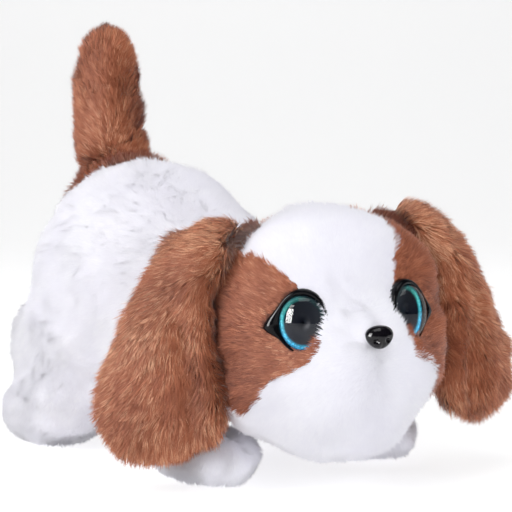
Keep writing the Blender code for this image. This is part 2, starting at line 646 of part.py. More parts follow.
def build_head():
    eyes = {sign: eye_frame(sign) for sign in (-1, 1)}
    neck_hole = moved(rod((0, 17.5, -8), (0, 70, -8), 18, 20), in_head)
    nose_rod = [moved(rod((0, -60, NOSE_CENTRE[2]), (0, -20, NOSE_CENTRE[2]), 2.2, 12), in_head)]
    seat = moved(ellipsoid(NOSE_CENTRE, NOSE_RADII + GAP), in_head)
    anchor_holes = [rod(*(ear_anchor(sign) + np.diff(ear_anchor(sign), axis=0) * [[-0.3], [1.0]]), 2.6, 12)
                    for sign in (-1, 1)]
    eye_holes = [eyes[sign](rod((0, 0, -9), (0, 0, 24), EYE_RADIUS + 1.1, 20)) for sign in (-1, 1)]
    shank_holes = [eyes[sign](rod((0, 0, -20), (0, 0, 0), 3.5, 14)) for sign in (-1, 1)]

    plush = make("head_plush", [head_skin(0.0)], "white_plush")
    skull_room = blended(SKULL_CENTRE, [(SKULL_CENTRE, SKULL_RADII + 1.4, SKULL_BACK + 1.4)], 0, 18, 11)
    cut(plush, moved(skull_room, in_head))
    cut(plush, neck_hole, *nose_rod, *eye_holes)
    cut(plush, seat, *anchor_holes)
    for side, sign in (("right", -1), ("left", 1)):
        flip = place(np.diag([sign, 1.0, 1.0]))
        region = moved(moved(prism(patch_outline(), -70, 14, "Y"), flip), in_head)
        patch = make(f"eye_patch_{side}", [head_skin(0.0)], "brown_plush")
        cut(patch, head_skin(-PATCH_THICKNESS))
        trim(patch, region)
        cut(patch, eye_holes[(sign + 1) // 2], anchor_holes[(sign + 1) // 2])
        room = make(f"patch_room_{side}", [head_skin(3.0)])
        cut(room, head_skin(-PATCH_THICKNESS - 0.3))
        trim(room, moved(moved(prism(patch_outline(0.3), -71, 14.3, "Y"), flip), in_head))
        modifier = plush.modifiers.new(f"patch_{side}", "BOOLEAN")
        modifier.operation = "DIFFERENCE"
        modifier.solver = "EXACT"
        modifier.object = room

    back = make("head_shell_back", [skull_half(False)], "shell_plastic")
    join(back, nod_rod(-12.6, -27.5, 4.2, 14), nod_rod(12.6, 27.5, 4.2, 14))
    cut(back, neck_hole, nod_rod(-20.6, 20.6, PIN_RADIUS + RUNNING, 20), *anchor_holes)
    front = make("head_shell_front", [skull_half(True)], "shell_plastic")
    cut(front, *shank_holes, *nose_rod)
    nose = make("nose", [moved(ellipsoid(NOSE_CENTRE, NOSE_RADII, 18, 10), in_head)], "black_plastic")
    join(nose, moved(rod((0, -52, NOSE_CENTRE[2]), (0, -26.5, NOSE_CENTRE[2]), 1.9, 12), in_head))
    for side, sign in (("right", -1), ("left", 1)):
        make(f"ear_anchor_{side}", [rod(*ear_anchor(sign), 2.2, 12)], "shell_plastic")
        build_eye(side, eyes[sign])
        build_ear(side, sign)


def build_eye(side, carry):
    bezel = [(0, -12.5), (3, -12.5), (3, -6), (11.4, -6), (12.6, -4.5), (12.6, 0.2), (12.0, 1.0), (11.1, 0.6),
             (10.95, -3.6), (0, -3.6)]
    disc = [(0, -3.3), (10.6, -3.3), (10.6, -2.5), (0, -2.5)]
    dome = [(0, -2.2), (10.6, -2.2), (10.6, 0.4), (9.7, 2.2), (7.6, 3.7), (4.2, 4.7), (0, 5.0)]
    make(f"eye_bezel_{side}", [carry(lathe(bezel, 18))], "black_plastic")
    make(f"eye_iris_{side}", [carry(lathe(disc, 18))], "iris_print")
    make(f"eye_lens_{side}", [carry(lathe(dome, 18))], "clear_dome")


def build_ear(side, sign):
    """A flat floppy ear: rings along a drooping line, each (centre, turn, half width, half thickness)."""
    stations = [((33.5, 6, 41.6), 75, 8.5, 2.6), ((41, 6.5, 41), 68, 11, 4), ((51, 7, 33.5), 58, 13, 5.4),
                ((58.5, 8, 21), 50, 15, 6.4), ((64.5, 8, 3), 42, 19.5, 7.4), ((68.5, 8, -18), 38, 25, 7.8),
                ((70, 7, -33), 38, 25, 7.4), ((70, 6, -42.5), 38, 20, 5.6), ((69.8, 6, -47), 38, 12, 3.4)]
    centres = np.array([s[0] for s in stations], float)
    tangents = np.gradient(centres, axis=0)
    turns = np.linspace(0, 2 * math.pi, 16, endpoint=False)
    rings = []
    for centre, tangent, (_, turn, width, thick) in zip(centres, tangents, stations):
        tangent = tangent / np.linalg.norm(tangent)
        across = np.array([math.cos(math.radians(turn)), math.sin(math.radians(turn)), 0])
        across -= tangent * (across @ tangent)
        across /= np.linalg.norm(across)
        through = np.cross(tangent, across)
        ring = [centre + across * width * math.cos(t) + through * thick * math.sin(t) for t in turns]
        rings.append(np.array(ring))
    solid = skin(rings, (30.5, 6, 41.2), (69.7, 6, -49))
    flip = place(np.diag([sign, 1.0, 1.0]))
    make(f"ear_{side}", [moved(moved(solid, flip), in_head)], "brown_plush", in_head(flip(centres[0])))


for existing in list(bpy.data.objects):
    bpy.data.objects.remove(existing, do_unlink=True)

build_torso()
build_legs()
build_shell()
build_power()
build_board()
build_button()
build_drive()
build_tail()
build_neck()
build_head()
HEAD_NAMES = ("head_", "eye_", "patch_", "nose", "nod_pin", "ear_")
hang("head_nod_axis", in_yoke(np.array([0, -NOD_OFFSET, NOD_HEIGHT])),
     [obj for obj in bpy.data.objects if obj.name.startswith(HEAD_NAMES)])
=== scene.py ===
"""Interactive plush puppy: stuffed skins with a pile of strands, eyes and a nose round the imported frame."""

import math

import bmesh
import bpy
import numpy as np
from mathutils import Matrix, Vector, kdtree
from mathutils.bvhtree import BVHTree


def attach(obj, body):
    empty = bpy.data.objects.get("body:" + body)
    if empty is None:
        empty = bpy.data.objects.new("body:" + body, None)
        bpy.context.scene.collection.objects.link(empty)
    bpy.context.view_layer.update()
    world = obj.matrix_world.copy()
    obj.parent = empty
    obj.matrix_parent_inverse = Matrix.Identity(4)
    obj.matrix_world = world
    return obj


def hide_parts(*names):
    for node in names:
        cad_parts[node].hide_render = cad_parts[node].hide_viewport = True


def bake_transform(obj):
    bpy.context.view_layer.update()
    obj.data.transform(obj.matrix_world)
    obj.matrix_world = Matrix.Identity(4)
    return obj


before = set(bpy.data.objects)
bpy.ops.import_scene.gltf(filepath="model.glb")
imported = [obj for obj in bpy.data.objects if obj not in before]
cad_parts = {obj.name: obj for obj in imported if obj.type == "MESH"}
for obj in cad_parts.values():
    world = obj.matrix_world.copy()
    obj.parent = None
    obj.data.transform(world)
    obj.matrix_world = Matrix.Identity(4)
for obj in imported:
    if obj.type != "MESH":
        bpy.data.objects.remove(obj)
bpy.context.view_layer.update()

MM = 0.001
ORIGIN = np.array([-1.2, 7.97, 0.0])  # what part.py takes from its own lengths, in millimetres
NECK = np.array([0.0, -34.0, 0.0])
NECK_TO_HEAD = 29.5
HEAD_HEIGHT = 64.0
HEAD_YAW = -18.0
HEAD_ROLL = -3.0
HEAD_HEART = np.array([0.0, -12.0, -12.0])
HEAD_BLOBS = [((0, 0, 4), (48.5, 41, 48), 33.0), ((0, -28, -14), (33, 26, 30), None),
              ((0, -20, -30), (30, 26, 24), None), ((20, -8, -16), (27, 30, 24), None),
              ((-20, -8, -16), (27, 30, 24), None)]
JOWLS = [((sign * 20, -1, -25), (21, 22, 18), None) for sign in (-1, 1)]  # fullness of the fur, outside the CAD
BLEND = 3.0
HEAD_SETBACK = 2.0
EYE_CENTRE = np.array([22.5, -33.0, 8.0])
EYE_YAW = 30.0
EYE_NARROW = 0.86
NOSE_CENTRE = np.array([0.0, -53.0, 3.0])
NOSE_SHIFT = 1.2
TAIL_PIVOT = np.array([0.0, 98.0, 86.0])
TAIL_WAY = np.array([0.0, 7.0, 103.0]) / math.hypot(7.0, 103.0)
SIDES = (("right", -1), ("left", 1))
STRANDS = 1.0
PUFF_PRESSURE = 4.0
CLOTH = 0.0014  # thickness of a cover's cloth, in metres
SLEEVE_CLOTH = 0.0010
FLOOR_GAP = 0.0012  # between the covers and the floor
TIP_GAP = 0.0003  # between the strands and the floor
SLEEVE_POINTS = 48


def rotation(axis, degrees):
    return np.array(Matrix.Rotation(math.radians(degrees), 3, axis))


YAW = rotation("Z", HEAD_YAW)
HEAD_CENTRE = NECK + YAW @ np.array([0, -NECK_TO_HEAD, 0]) + np.array([0, 0, HEAD_HEIGHT])
HEAD_TURN = YAW @ rotation("Y", HEAD_ROLL)


def from_head(points):
    """Head millimetres to the row frame in metres."""
    return (np.asarray(points, float) @ HEAD_TURN.T + HEAD_CENTRE - ORIGIN) * MM


def to_head(points):
    return (np.asarray(points) / MM + ORIGIN - HEAD_CENTRE) @ HEAD_TURN


def to_puppy(points):
    """The row frame in metres to part.py's own millimetres."""
    return np.asarray(points) / MM + ORIGIN


def unit(v):
    return v / np.maximum(np.linalg.norm(v, axis=-1, keepdims=True), 1e-12)


def columns(*parts):
    """Rows of x, y and z from three parts, each an array or one number."""
    return np.stack(np.broadcast_arrays(*parts), 1)


def drift(points, size, seed):
    """Smooth wandering vectors of about unit size, which change over a distance of size."""
    rng = np.random.default_rng(seed)
    out = np.zeros((len(points), 3))
    for weight, share in ((0.6, 1.0), (0.35, 0.45)):
        for _ in range(4):
            ways = rng.normal(size=(3, 3)) * 1.6 / (size * share)
            phase = rng.uniform(0, 2 * math.pi, 3)
            out += weight * 0.5 * np.sin(points @ ways + phase)
    return out


# ---------------------------------------------------------------- materials


class Nodes:
    """A material's node tree with its Principled shader."""

    def __init__(self, name, roughness=0.6, **sockets):
        self.material = bpy.data.materials.new(name)
        self.material.use_nodes = True
        self.tree = self.material.node_tree
        self.shader = self.tree.nodes["Principled BSDF"]
        self.shader.inputs["Roughness"].default_value = roughness
        for key, value in sockets.items():
            self.shader.inputs[key.replace("_", " ")].default_value = value

    def add(self, kind, **settings):
        node = self.tree.nodes.new(kind)
        for key, value in settings.items():
            socket = key.replace("_", " ")
            if socket in node.inputs:
                node.inputs[socket].default_value = value
            else:
                setattr(node, key, value)
        return node

    def link(self, output, node, socket):
        self.tree.links.new(output, node.inputs[socket])

    def ramp(self, factor, stops, interpolation="LINEAR"):
        node = self.add("ShaderNodeValToRGB")
        node.color_ramp.interpolation = interpolation
        elements = node.color_ramp.elements
        while len(elements) < len(stops):
            elements.new(0.5)
        for element, (place, colour) in zip(elements, stops):
            element.position = place
            element.color = (*colour, 1)
        self.link(factor, node, "Fac")
        return node.outputs["Color"]

    def noise(self, scale, detail=3.0, roughness=0.55, source=None):
        node = self.add("ShaderNodeTexNoise", Scale=scale, Detail=detail, Roughness=roughness)
        if source is None:
            source = self.add("ShaderNodeTexCoord").outputs["Object"]
        self.link(source, node, "Vector")
        return node.outputs["Fac"]

    def mix(self, factor, a, b, blend="MIX"):
        node = self.add("ShaderNodeMix", data_type="RGBA", blend_type=blend)
        for socket, value in (("Factor", factor), ("A", a), ("B", b)):
            target = next(s for s in node.inputs if s.name == socket and s.enabled)
            if isinstance(value, bpy.types.NodeSocket):
                self.tree.links.new(value, target)
            elif isinstance(value, (int, float)):
                target.default_value = value
            else:
                target.default_value = (*value, 1)
        return next(s for s in node.outputs if s.enabled)

    def bump(self, height, strength, distance):
        node = self.add("ShaderNodeBump", Strength=strength, Distance=distance)
        self.link(height, node, "Height")
        self.link(node.outputs["Normal"], self.shader, "Normal")

    def finish(self, colour):
        self.link(colour, self.shader, "Base Color")
        return self.material


def pile_material(name, root, stops, patches, amount):
    """A strand's colour: its own tone, darkened towards its root by painted shade deep in the pile, with slow
    changes over the cloth.
    """
    n = Nodes(name, 0.7, Sheen_Weight=0.25, Sheen_Roughness=0.4, Specular_IOR_Level=0.25)
    tone = n.add("ShaderNodeAttribute", attribute_name="tone").outputs["Fac"]
    along = n.add("ShaderNodeAttribute", attribute_name="along").outputs["Fac"]
    colour = n.ramp(tone, stops)
    slow = n.ramp(n.noise(38.0), [(0.35, (0, 0, 0)), (0.68, (amount,) * 3)])
    colour = n.mix(slow, colour, patches)
    # Painted shade: the root colour, darker than the tone, fades out over half the strand's length.
    depth = n.ramp(along, [(0.0, (0, 0, 0)), (0.55, (1, 1, 1))])
    return n.finish(n.mix(depth, root, colour))


def backing_material(name, colour, dark):
    """The knitted backing that the pile grows from."""
    n = Nodes(name, 0.9, Sheen_Weight=0.3)
    speckle = n.noise(900.0, 4.0)
    n.bump(speckle, 0.4, 0.0006)
    return n.finish(n.ramp(speckle, [(0.3, dark), (0.7, colour)]))


def moulded_material(name, colour, roughness, speck=0.06, metallic=0.0, **sockets):
    """Moulded plastic or metal: an even colour with faint mottling and a fine surface grain."""
    n = Nodes(name, roughness, Metallic=metallic, **sockets)
    mottle = n.noise(120.0, 4.0)
    grain = n.noise(1500.0, 2.0)
    n.bump(grain, 0.08, 0.0002)
    rough = n.ramp(n.noise(300.0), [(0.3, (roughness * 0.85,) * 3),
                                    (0.7, (min(1, roughness * 1.15),) * 3)])
    n.link(rough, n.shader, "Roughness")
    low = tuple(c * (1 - speck) for c in colour)
    high = tuple(min(1.0, c * (1 + speck)) for c in colour)
    return n.finish(n.ramp(mottle, [(0.3, low), (0.7, high)]))


WHITE_TONES = [(0.0, (0.77, 0.76, 0.825)), (0.5, (0.80, 0.795, 0.855)), (1.0, (0.84, 0.835, 0.88))]
BROWN_TONES = [(0.0, (0.16, 0.040, 0.019)), (0.35, (0.31, 0.088, 0.041)), (0.72, (0.50, 0.175, 0.088)),
               (1.0, (0.82, 0.46, 0.28))]
# The second colour of each pile is the painted shade at its strands' roots.
WHITE = pile_material("white_pile", (0.74, 0.725, 0.80), WHITE_TONES, (0.75, 0.735, 0.83), 0.5)
BROWN = pile_material("brown_pile", (0.11, 0.026, 0.012), BROWN_TONES, (0.33, 0.105, 0.052), 0.35)
WHITE_BACKING = backing_material("white_backing", (0.80, 0.79, 0.86), (0.74, 0.73, 0.80))
BROWN_BACKING = backing_material("brown_backing", (0.22, 0.062, 0.032), (0.13, 0.034, 0.018))


def dress(obj, body, nodes=()):
    """Hides the CAD nodes that a piece stands for and hangs it on the body that it rides. Given the arguments of a
    bend between two bodies instead, it only bakes the piece's place into its mesh."""
    if nodes:
        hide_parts(*nodes)
    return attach(obj, body) if isinstance(body, str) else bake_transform(obj)


# ---------------------------------------------------------------- stuffed skins


def link_mesh(name, mesh, material, smooth=True):
    mesh.materials.clear()
    mesh.materials.append(material)
    if smooth:
        mesh.shade_smooth()
    obj = bpy.data.objects.new(name, mesh)
    bpy.context.scene.collection.objects.link(obj)
    return obj


def mesh_from(name, points, faces):
    mesh = bpy.data.meshes.new(name)
    mesh.from_pydata([tuple(p) for p in points], [], [tuple(f) for f in faces])
    mesh.validate()
    return mesh


def read_points(mesh):
    co = np.empty(len(mesh.vertices) * 3)
    mesh.vertices.foreach_get("co", co)
    return co.reshape(-1, 3)


def write_points(mesh, points):
    mesh.vertices.foreach_set("co", np.asarray(points, np.float32).ravel())
    mesh.update()


def read_normals(mesh):
    n = np.empty(len(mesh.vertices) * 3)
    mesh.vertex_normals.foreach_get("vector", n)
    return n.reshape(-1, 3)


def modify(obj, kind, **settings):
    modifier = obj.modifiers.new(kind.lower(), kind)
    for key, value in settings.items():
        setattr(modifier, key, value)


def bake_modifiers(obj):
    """Replaces the object's mesh by what its modifiers make of it."""
    graph = bpy.context.evaluated_depsgraph_get()
    mesh = bpy.data.meshes.new_from_object(obj.evaluated_get(graph))
    obj.modifiers.clear()
    obj.data = mesh


def remesh(obj, voxel, rounds):
    modify(obj, "REMESH", mode="VOXEL", voxel_size=voxel)
    modify(obj, "SMOOTH", factor=0.5, iterations=rounds)
    bake_modifiers(obj)


def thicken(obj, thickness):
    """Gives a cloth its thickness, inwards."""
    modify(obj, "SOLIDIFY", thickness=thickness, offset=-1.0)
    bake_modifiers(obj)
    obj.data.shade_smooth()


def tree_of(objects):
    """One search tree round several meshes that stand in the row frame."""
    points, faces, base = [], [], 0
    for obj in objects:
        points += [tuple(v.co) for v in obj.data.vertices]
        faces += [[base + i for i in p.vertices] for p in obj.data.polygons]
        base = len(points)
    return BVHTree.FromPolygons(points, faces)


def clearances(tree, points, ways, most):
    """How far each point sees along its way before it meets the tree, at most most."""
    found = [tree.ray_cast(Vector(p), Vector(w), most)[3] for p, w in zip(points, ways)]
    return np.array([most if d is None else d for d in found])


def outward(obj, reach=0.09):
    """1 for each vertex whose normal leaves the piece without meeting it again, else 0."""
    points, normals = read_points(obj.data), read_normals(obj.data)
    return (clearances(tree_of([obj]), points + normals * 0.0012, normals, reach) >= reach).astype(float)


def walls(obj, points, normals):
    """How thick the piece is under each point, up to 30 mm."""
    return clearances(tree_of([obj]), points - normals * 0.0008, -normals, 0.03)


def blur(mesh, values, rounds):
    """values smoothed over the mesh's edges."""
    if values.ndim > 1:
        return np.stack([blur(mesh, column, rounds) for column in values.T], 1)
    ends = np.empty(len(mesh.edges) * 2, np.int32)
    mesh.edges.foreach_get("vertices", ends)
    a, b = ends.reshape(-1, 2).T
    count = np.bincount(ends, minlength=len(values))
    for _ in range(rounds):
        total = np.bincount(a, values[b], len(values)) + np.bincount(b, values[a], len(values))
        values = 0.5 * values + 0.5 * total / np.maximum(count, 1)
    return values


def keep_pile_depths(mesh, share):
    mesh.attributes.new("pile", "FLOAT", "POINT").data.foreach_set("value", share.astype(np.float32))


def pile_depths(mesh):
    depth = np.ones(len(mesh.vertices), np.float32)
    if "pile" in mesh.attributes:
        mesh.attributes["pile"].data.foreach_get("value", depth)
    return depth


def triangles_of(mesh):
    """(corner points, corner normals, corner pile depths) of the mesh's triangles, its normals evened out."""
    mesh.calc_loop_triangles()
    tris = np.empty(len(mesh.loop_triangles) * 3, np.int32)
    mesh.loop_triangles.foreach_get("vertices", tris)
    tris = tris.reshape(-1, 3)
    normals = unit(blur(mesh, read_normals(mesh), 5))
    return read_points(mesh)[tris], normals[tris], pile_depths(mesh)[tris]


GROUND = {}  # the outer side of each cover panel, for its pile to stand on


def panel(name, points, normals, faces, depths, material, nodes, body):
    """One cut panel of a cover, given the thickness of its cloth."""
    tris = np.concatenate([faces[:, :3], faces[:, [0, 2, 3]]])
    GROUND[name] = points[tris], normals[tris], depths[tris]
    used, index = np.unique(faces, return_inverse=True)
    obj = link_mesh(name, mesh_from(name, points[used], index.reshape(faces.shape)), material)
    thicken(obj, CLOTH)
    return dress(obj, body, nodes)


def puff(obj, free, seams, cap, frames=20):
    """Blows the cover up as cloth between its seams. No point moves more than cap."""
    scene = bpy.context.scene
    held = np.where((free < 0.5) | seams)[0]
    group = obj.vertex_groups.new(name="held")
    group.add([int(i) for i in held], 1.0, "REPLACE")
    before = read_points(obj.data)
    cloth = obj.modifiers.new("cloth", "CLOTH")
    cloth.settings.quality = 4
    cloth.settings.use_pressure = True
    cloth.settings.uniform_pressure_force = PUFF_PRESSURE
    cloth.settings.vertex_group_mass = group.name
    cloth.settings.effector_weights.gravity = 0.0
    cloth.point_cache.frame_start = 1
    cloth.point_cache.frame_end = frames
    for number in range(1, frames + 1):
        scene.frame_set(number)
        bpy.context.evaluated_depsgraph_get()
    graph = bpy.context.evaluated_depsgraph_get()
    moved = obj.evaluated_get(graph).to_mesh()
    after = read_points(moved)
    obj.evaluated_get(graph).to_mesh_clear()
    obj.modifiers.clear()
    scene.frame_set(1)
    step = after - before
    length = np.linalg.norm(step, axis=1, keepdims=True)
    step *= np.minimum(1.0, cap / np.maximum(length, 1e-9))
    write_points(obj.data, before + step)


def add_pad(obj, centre, radii):
    """Joins an ellipsoid of stuffing, in part.py's millimetres, into the cover."""
    form = bmesh.new()
    form.from_mesh(obj.data)
    place = Matrix.Translation((np.array(centre) - ORIGIN) * MM)
    place @= Matrix.Diagonal((*np.array(radii) * MM, 1))
    bmesh.ops.create_icosphere(form, subdivisions=3, radius=1.0, matrix=place)
    form.to_mesh(obj.data)
    form.free()


def stuffed(node, body, voxel, inset, cap, lumps, shape):
    """A brown CAD node as a stuffed skin: remeshed, set back by the pile's depth and blown up as cloth. lumps is
    the height and the size of its waves, and shape gives further heights at puppy millimetres."""
    copy = bpy.data.meshes.new_from_object(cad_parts[node])
    obj = link_mesh(f"skin_{node}", copy, BROWN_BACKING)
    remesh(obj, voxel, 4)
    points, normals = read_points(obj.data), read_normals(obj.data)
    depth = np.minimum(inset, walls(obj, points, normals) * 0.5)
    write_points(obj.data, points - normals * depth[:, None])
    keep_pile_depths(obj.data, depth / inset)
    puff(obj, np.ones(len(points)), np.zeros(len(points), bool), cap)
    points, normals = read_points(obj.data), read_normals(obj.data)
    height = lumps[0] * drift(points, lumps[1], len(node))[:, 0] + shape(to_puppy(points))
    write_points(obj.data, points + normals * height[:, None])
    finish_form(obj, 2)
    obj.data.shade_smooth()
    return dress(obj, body, [node])


def finish_form(obj, rounds):
    """Evens the form out and divides it once."""
    modify(obj, "SMOOTH", factor=0.5, iterations=rounds)
    modify(obj, "SUBSURF", levels=1, render_levels=1)
    bake_modifiers(obj)
    points = read_points(obj.data)
    points[:, 2] = np.maximum(points[:, 2], FLOOR_GAP)
    write_points(obj.data, points)


BODY_NODES = ["torso_plush", "front_leg_right", "front_leg_left", "rear_leg_right", "rear_leg_left"]
BODY_INSET = 0.0048
TAIL_RING_RADIUS = 20.0


def paws(p):
    """Heights in metres over the paws: sewn dents between the toes, and front soles full of pile."""
    fore = (p[:, 1] < 24) & (np.abs(p[:, 0]) > 22) & (p[:, 2] < 30)
    across = np.abs(np.abs(p[:, 0]) - 43.3)
    dent = np.exp(-((across - 6.0) / 1.8) ** 2) * np.clip((-38 - p[:, 1]) / 12, 0, 1) * fore
    low = np.clip((24 - p[:, 2]) / 10, 0, 1) * fore
    across = np.abs(np.abs(p[:, 0]) - 54)
    hind = np.exp(-((across - 6.5) / 2.0) ** 2) * np.clip((58 - p[:, 1]) / 10, 0, 1)
    hind *= (p[:, 2] < 30) & (p[:, 1] > 30)
    return -0.003 * dent + 0.0028 * low * (1 - dent) - 0.003 * hind


def nearest_node(points, names):
    """For each point, the number of the CAD node that it lies closest to."""
    trees = [tree_of([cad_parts[name]]) for name in names]
    far = np.array([[tree.find_nearest(Vector(p))[3] for tree in trees] for p in points])
    return far.argmin(1)


def off_tail_axis(points):
    """From the line the tail stands on to points, all in puppy millimetres."""
    off = points - TAIL_PIVOT
    return off - np.outer(off @ TAIL_WAY, TAIL_WAY)


def body_panels():
    """The torso and legs as one stuffed form, cut into a panel for each of them along their seams."""
    form = bmesh.new()
    for name in BODY_NODES:
        copy = bpy.data.meshes.new_from_object(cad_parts[name])
        if name != "torso_plush":
            write_points(copy, read_points(copy) + read_normals(copy) * 0.0009)
        form.from_mesh(copy)
    joined = bpy.data.meshes.new("body_cover")
    form.to_mesh(joined)
    form.free()
    cover = link_mesh("body_cover", joined, WHITE_BACKING)
    add_pad(cover, (0, 20, 92), (27, 17, 8.5))
    remesh(cover, 0.0036, 6)
    free = blur(cover.data, outward(cover), 4)
    points, normals = read_points(cover.data), read_normals(cover.data)
    inner = tree_of([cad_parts[name] for name in ("chassis_upper", "chassis_lower", "back_button")])
    room = clearances(inner, points, -normals, 0.02)
    depth = np.minimum(BODY_INSET, walls(cover, points, normals) * 0.5) * free
    depth = np.minimum(depth, np.maximum(room - 0.0012, 0))
    depth = np.minimum(blur(cover.data, depth, 3), np.maximum(room - 0.0009, 0))
    write_points(cover.data, points - normals * depth[:, None])
    labels = nearest_node(points, BODY_NODES)
    edge = np.abs(blur(cover.data, (labels == 0).astype(float), 1) - 0.5) < 0.45
    keep_pile_depths(cover.data, depth / BODY_INSET)
    puff(cover, free, edge, 0.0024)
    points, normals = read_points(cover.data), read_normals(cover.data)
    height = 0.0014 * drift(points, 0.024, 11)[:, 0] + paws(to_puppy(points))
    write_points(cover.data, points + normals * (height * free)[:, None])
    finish_form(cover, 3)
    points = read_points(cover.data)
    depths = pile_depths(cover.data)
    faces = np.array([list(f.vertices) for f in cover.data.polygons])
    middles = points[faces].mean(1)
    labels = nearest_node(middles, BODY_NODES)
    spots = to_puppy(middles)
    near_tail = np.linalg.norm(off_tail_axis(spots), axis=1) < TAIL_RING_RADIUS
    labels[near_tail & (spots[:, 2] > 90)] = len(BODY_NODES)
    normals = unit(blur(cover.data, read_normals(cover.data), 8))
    named = [(name, WHITE_BACKING, [name]) for name in BODY_NODES] + [("tail_ring", BROWN_BACKING, [])]
    made = [panel(f"panel_{name}", points, normals, faces[labels == number], depths, material, nodes, "body")
            for number, (name, material, nodes) in enumerate(named)]
    bpy.data.objects.remove(cover)
    return made


def ear_shape(points):
    """The ears' lower ends stand back for the pile that hangs below them, a fold runs down the front face, and
    the side towards the cheek is full."""
    p = to_head((points - ORIGIN) * MM)
    out, y, z = np.abs(p[:, 0]), p[:, 1], p[:, 2]
    tip = np.clip((-34 - z) / 14, 0, 1)
    fold = np.exp(-(((out - 59.5 - 0.10 * (z + 10)) / 3.6) ** 2)) * np.clip((6 - y) / 8, 0, 1)
    fold *= np.clip((18 - z) / 12, 0, 1) * np.clip((z + 44) / 14, 0, 1)
    cheek = np.clip((57.5 - 0.3 * np.clip(z - 8, 0, 30) - out) / 6, 0, 1)
    cheek *= np.clip((38 - z) / 8, 0, 1) * np.clip((z + 48) / 10, 0, 1)
    return np.where(p[:, 0] > 0, -0.0070, -0.0030) * tip - 0.0034 * fold + 0.0058 * cheek


def tail_shape(points):
    """The tail is set back a little on its front and left side."""
    return -0.0042 * np.clip(off_tail_axis(points) @ np.array([0.79, -0.61, 0]) / 9, 0, 1)


TORSO, *LEGS, TAIL_RING = body_panels()
EARS = [stuffed(f"ear_{side}", f"{side}_ear", 0.0024, 0.0022, 0.0012, (0.0012, 0.022), ear_shape)
        for side, _ in SIDES]
TAIL = stuffed("tail_plush", "tail", 0.0028, 0.0036, 0.0012, (0.0020, 0.018), tail_shape)


def tube_faces(rings, count):
    """The faces between neighbouring rings of count points each."""
    return [(a + i, a + (i + 1) % count, a + count + (i + 1) % count, a + count + i)
            for a in range(0, (rings - 1) * count, count) for i in range(count)]


def end_faces(rings, count):
    """The faces that close a tube's ends at two poles, whose points follow its rings."""
    pole, last = rings * count, (rings - 1) * count
    return ([(pole, (i + 1) % count, i) for i in range(count)]
            + [(pole + 1, last + i, last + (i + 1) % count) for i in range(count)])


def sleeve(name, rings, axis, material, bend, foot=None):
    """A cloth tube through rings of (centre, radius) in puppy millimetres, which stays where it is made between two
    bodies. With foot, its first ring is laid on that piece."""
    count = SLEEVE_POINTS
    side = unit(np.cross(axis, [1.0, 0, 0]))
    other = np.cross(side, axis)
    turns = np.linspace(0, 2 * math.pi, count, endpoint=False)
    circle = np.outer(np.cos(turns), other) + np.outer(np.sin(turns), side)
    points = np.concatenate([np.array(centre) + radius * circle for centre, radius in rings])
    points = (points - ORIGIN) * MM
    if foot is not None:
        lift, most = 0.03, 0.045
        starts = points[:count] + axis * lift
        fall = clearances(tree_of([foot]), starts, np.tile(-axis, (count, 1)), most)
        points[:count] = starts - axis * np.where(fall < most, fall + 0.001, lift)[:, None]
    points += 0.0006 * drift(points, 0.012, 9)
    mesh = mesh_from(name, points, tube_faces(len(rings), count))
    GROUND[name] = triangles_of(mesh)
    obj = link_mesh(name, mesh, material)
    thicken(obj, SLEEVE_CLOTH)
    return dress(obj, bend)


def bend_of(first, second, start, end):
    return first, second, tuple((np.array(start) - ORIGIN) * MM), tuple((np.array(end) - ORIGIN) * MM)


TAIL_PROFILE = ((20, 15.5), (24, 15.5), (28, 14.6), (32, 13.4), (36, 12.2), (40, 11.2), (45, 10.4),
                (50, 9.6))
TAIL_RINGS = [(TAIL_PIVOT + TAIL_WAY * along, radius) for along, radius in TAIL_PROFILE]
TAIL_BEND = bend_of("body", "tail", TAIL_PIVOT + TAIL_WAY * 26, TAIL_PIVOT + TAIL_WAY * 44)
TAIL_SLEEVE = sleeve("tail_sleeve", TAIL_RINGS, TAIL_WAY, BROWN_BACKING, TAIL_BEND)
NECK_PROFILE = ((0, -8, 25), (0, -14, 22.5), (0, -19, 21), (0, -24, 19.5), (0, -29, 18), (0, -34, 17.2),
                (-1.5, -39, 17.2), (-3.4, -45, 17.0))
NECK_HEIGHT = 57
NECK_RINGS = [((x, y, NECK_HEIGHT), radius) for x, y, radius in NECK_PROFILE]
NECK_BEND = bend_of("body", "neck", (0, -12, NECK_HEIGHT), (0, -30, NECK_HEIGHT))
NECK_SLEEVE = sleeve("neck_sleeve", NECK_RINGS, np.array([0, -1.0, 0]), WHITE_BACKING, NECK_BEND, TORSO)


def reach(directions, centre, radii, back):
    """How far rays from the head's heart run inside an ellipsoid. back is the radius of its half towards +Y."""
    size = np.tile(np.array(radii, float), (len(directions), 1))
    start = HEAD_HEART - np.array(centre, float)
    for _ in range(2):
        a = ((directions / size) ** 2).sum(1)
        b = (directions / size * (start / size)).sum(1)
        c = ((start / size) ** 2).sum(1) - 1
        far = (-b + np.sqrt(np.maximum(b * b - a * c, 0))) / a
        size[:, 1] = np.where(start[1] + far * directions[:, 1] > 0, back or radii[1], radii[1])
    return far


def head_form(around, up, inset):
    """The blended form of the head as (points, faces) in head millimetres, with full jowls of pile."""
    turns = np.linspace(0, 2 * math.pi, around, endpoint=False)
    tilts = np.linspace(-math.pi / 2, math.pi / 2, up + 1)[1:-1]
    rows = [columns(np.cos(turns) * math.cos(t), np.sin(turns) * math.cos(t), math.sin(t)) for t in tilts]
    ways = np.concatenate(rows + [np.array([[0, 0, -1.0], [0, 0, 1.0]])])
    far = np.stack([reach(ways, *blob) for blob in HEAD_BLOBS + JOWLS])
    longest = far.max(0)
    far = longest + BLEND * np.log(np.exp((far - longest) / BLEND).sum(0)) - HEAD_SETBACK - inset
    return HEAD_HEART + ways * far[:, None], tube_faces(len(tilts), around) + end_faces(len(tilts), around)


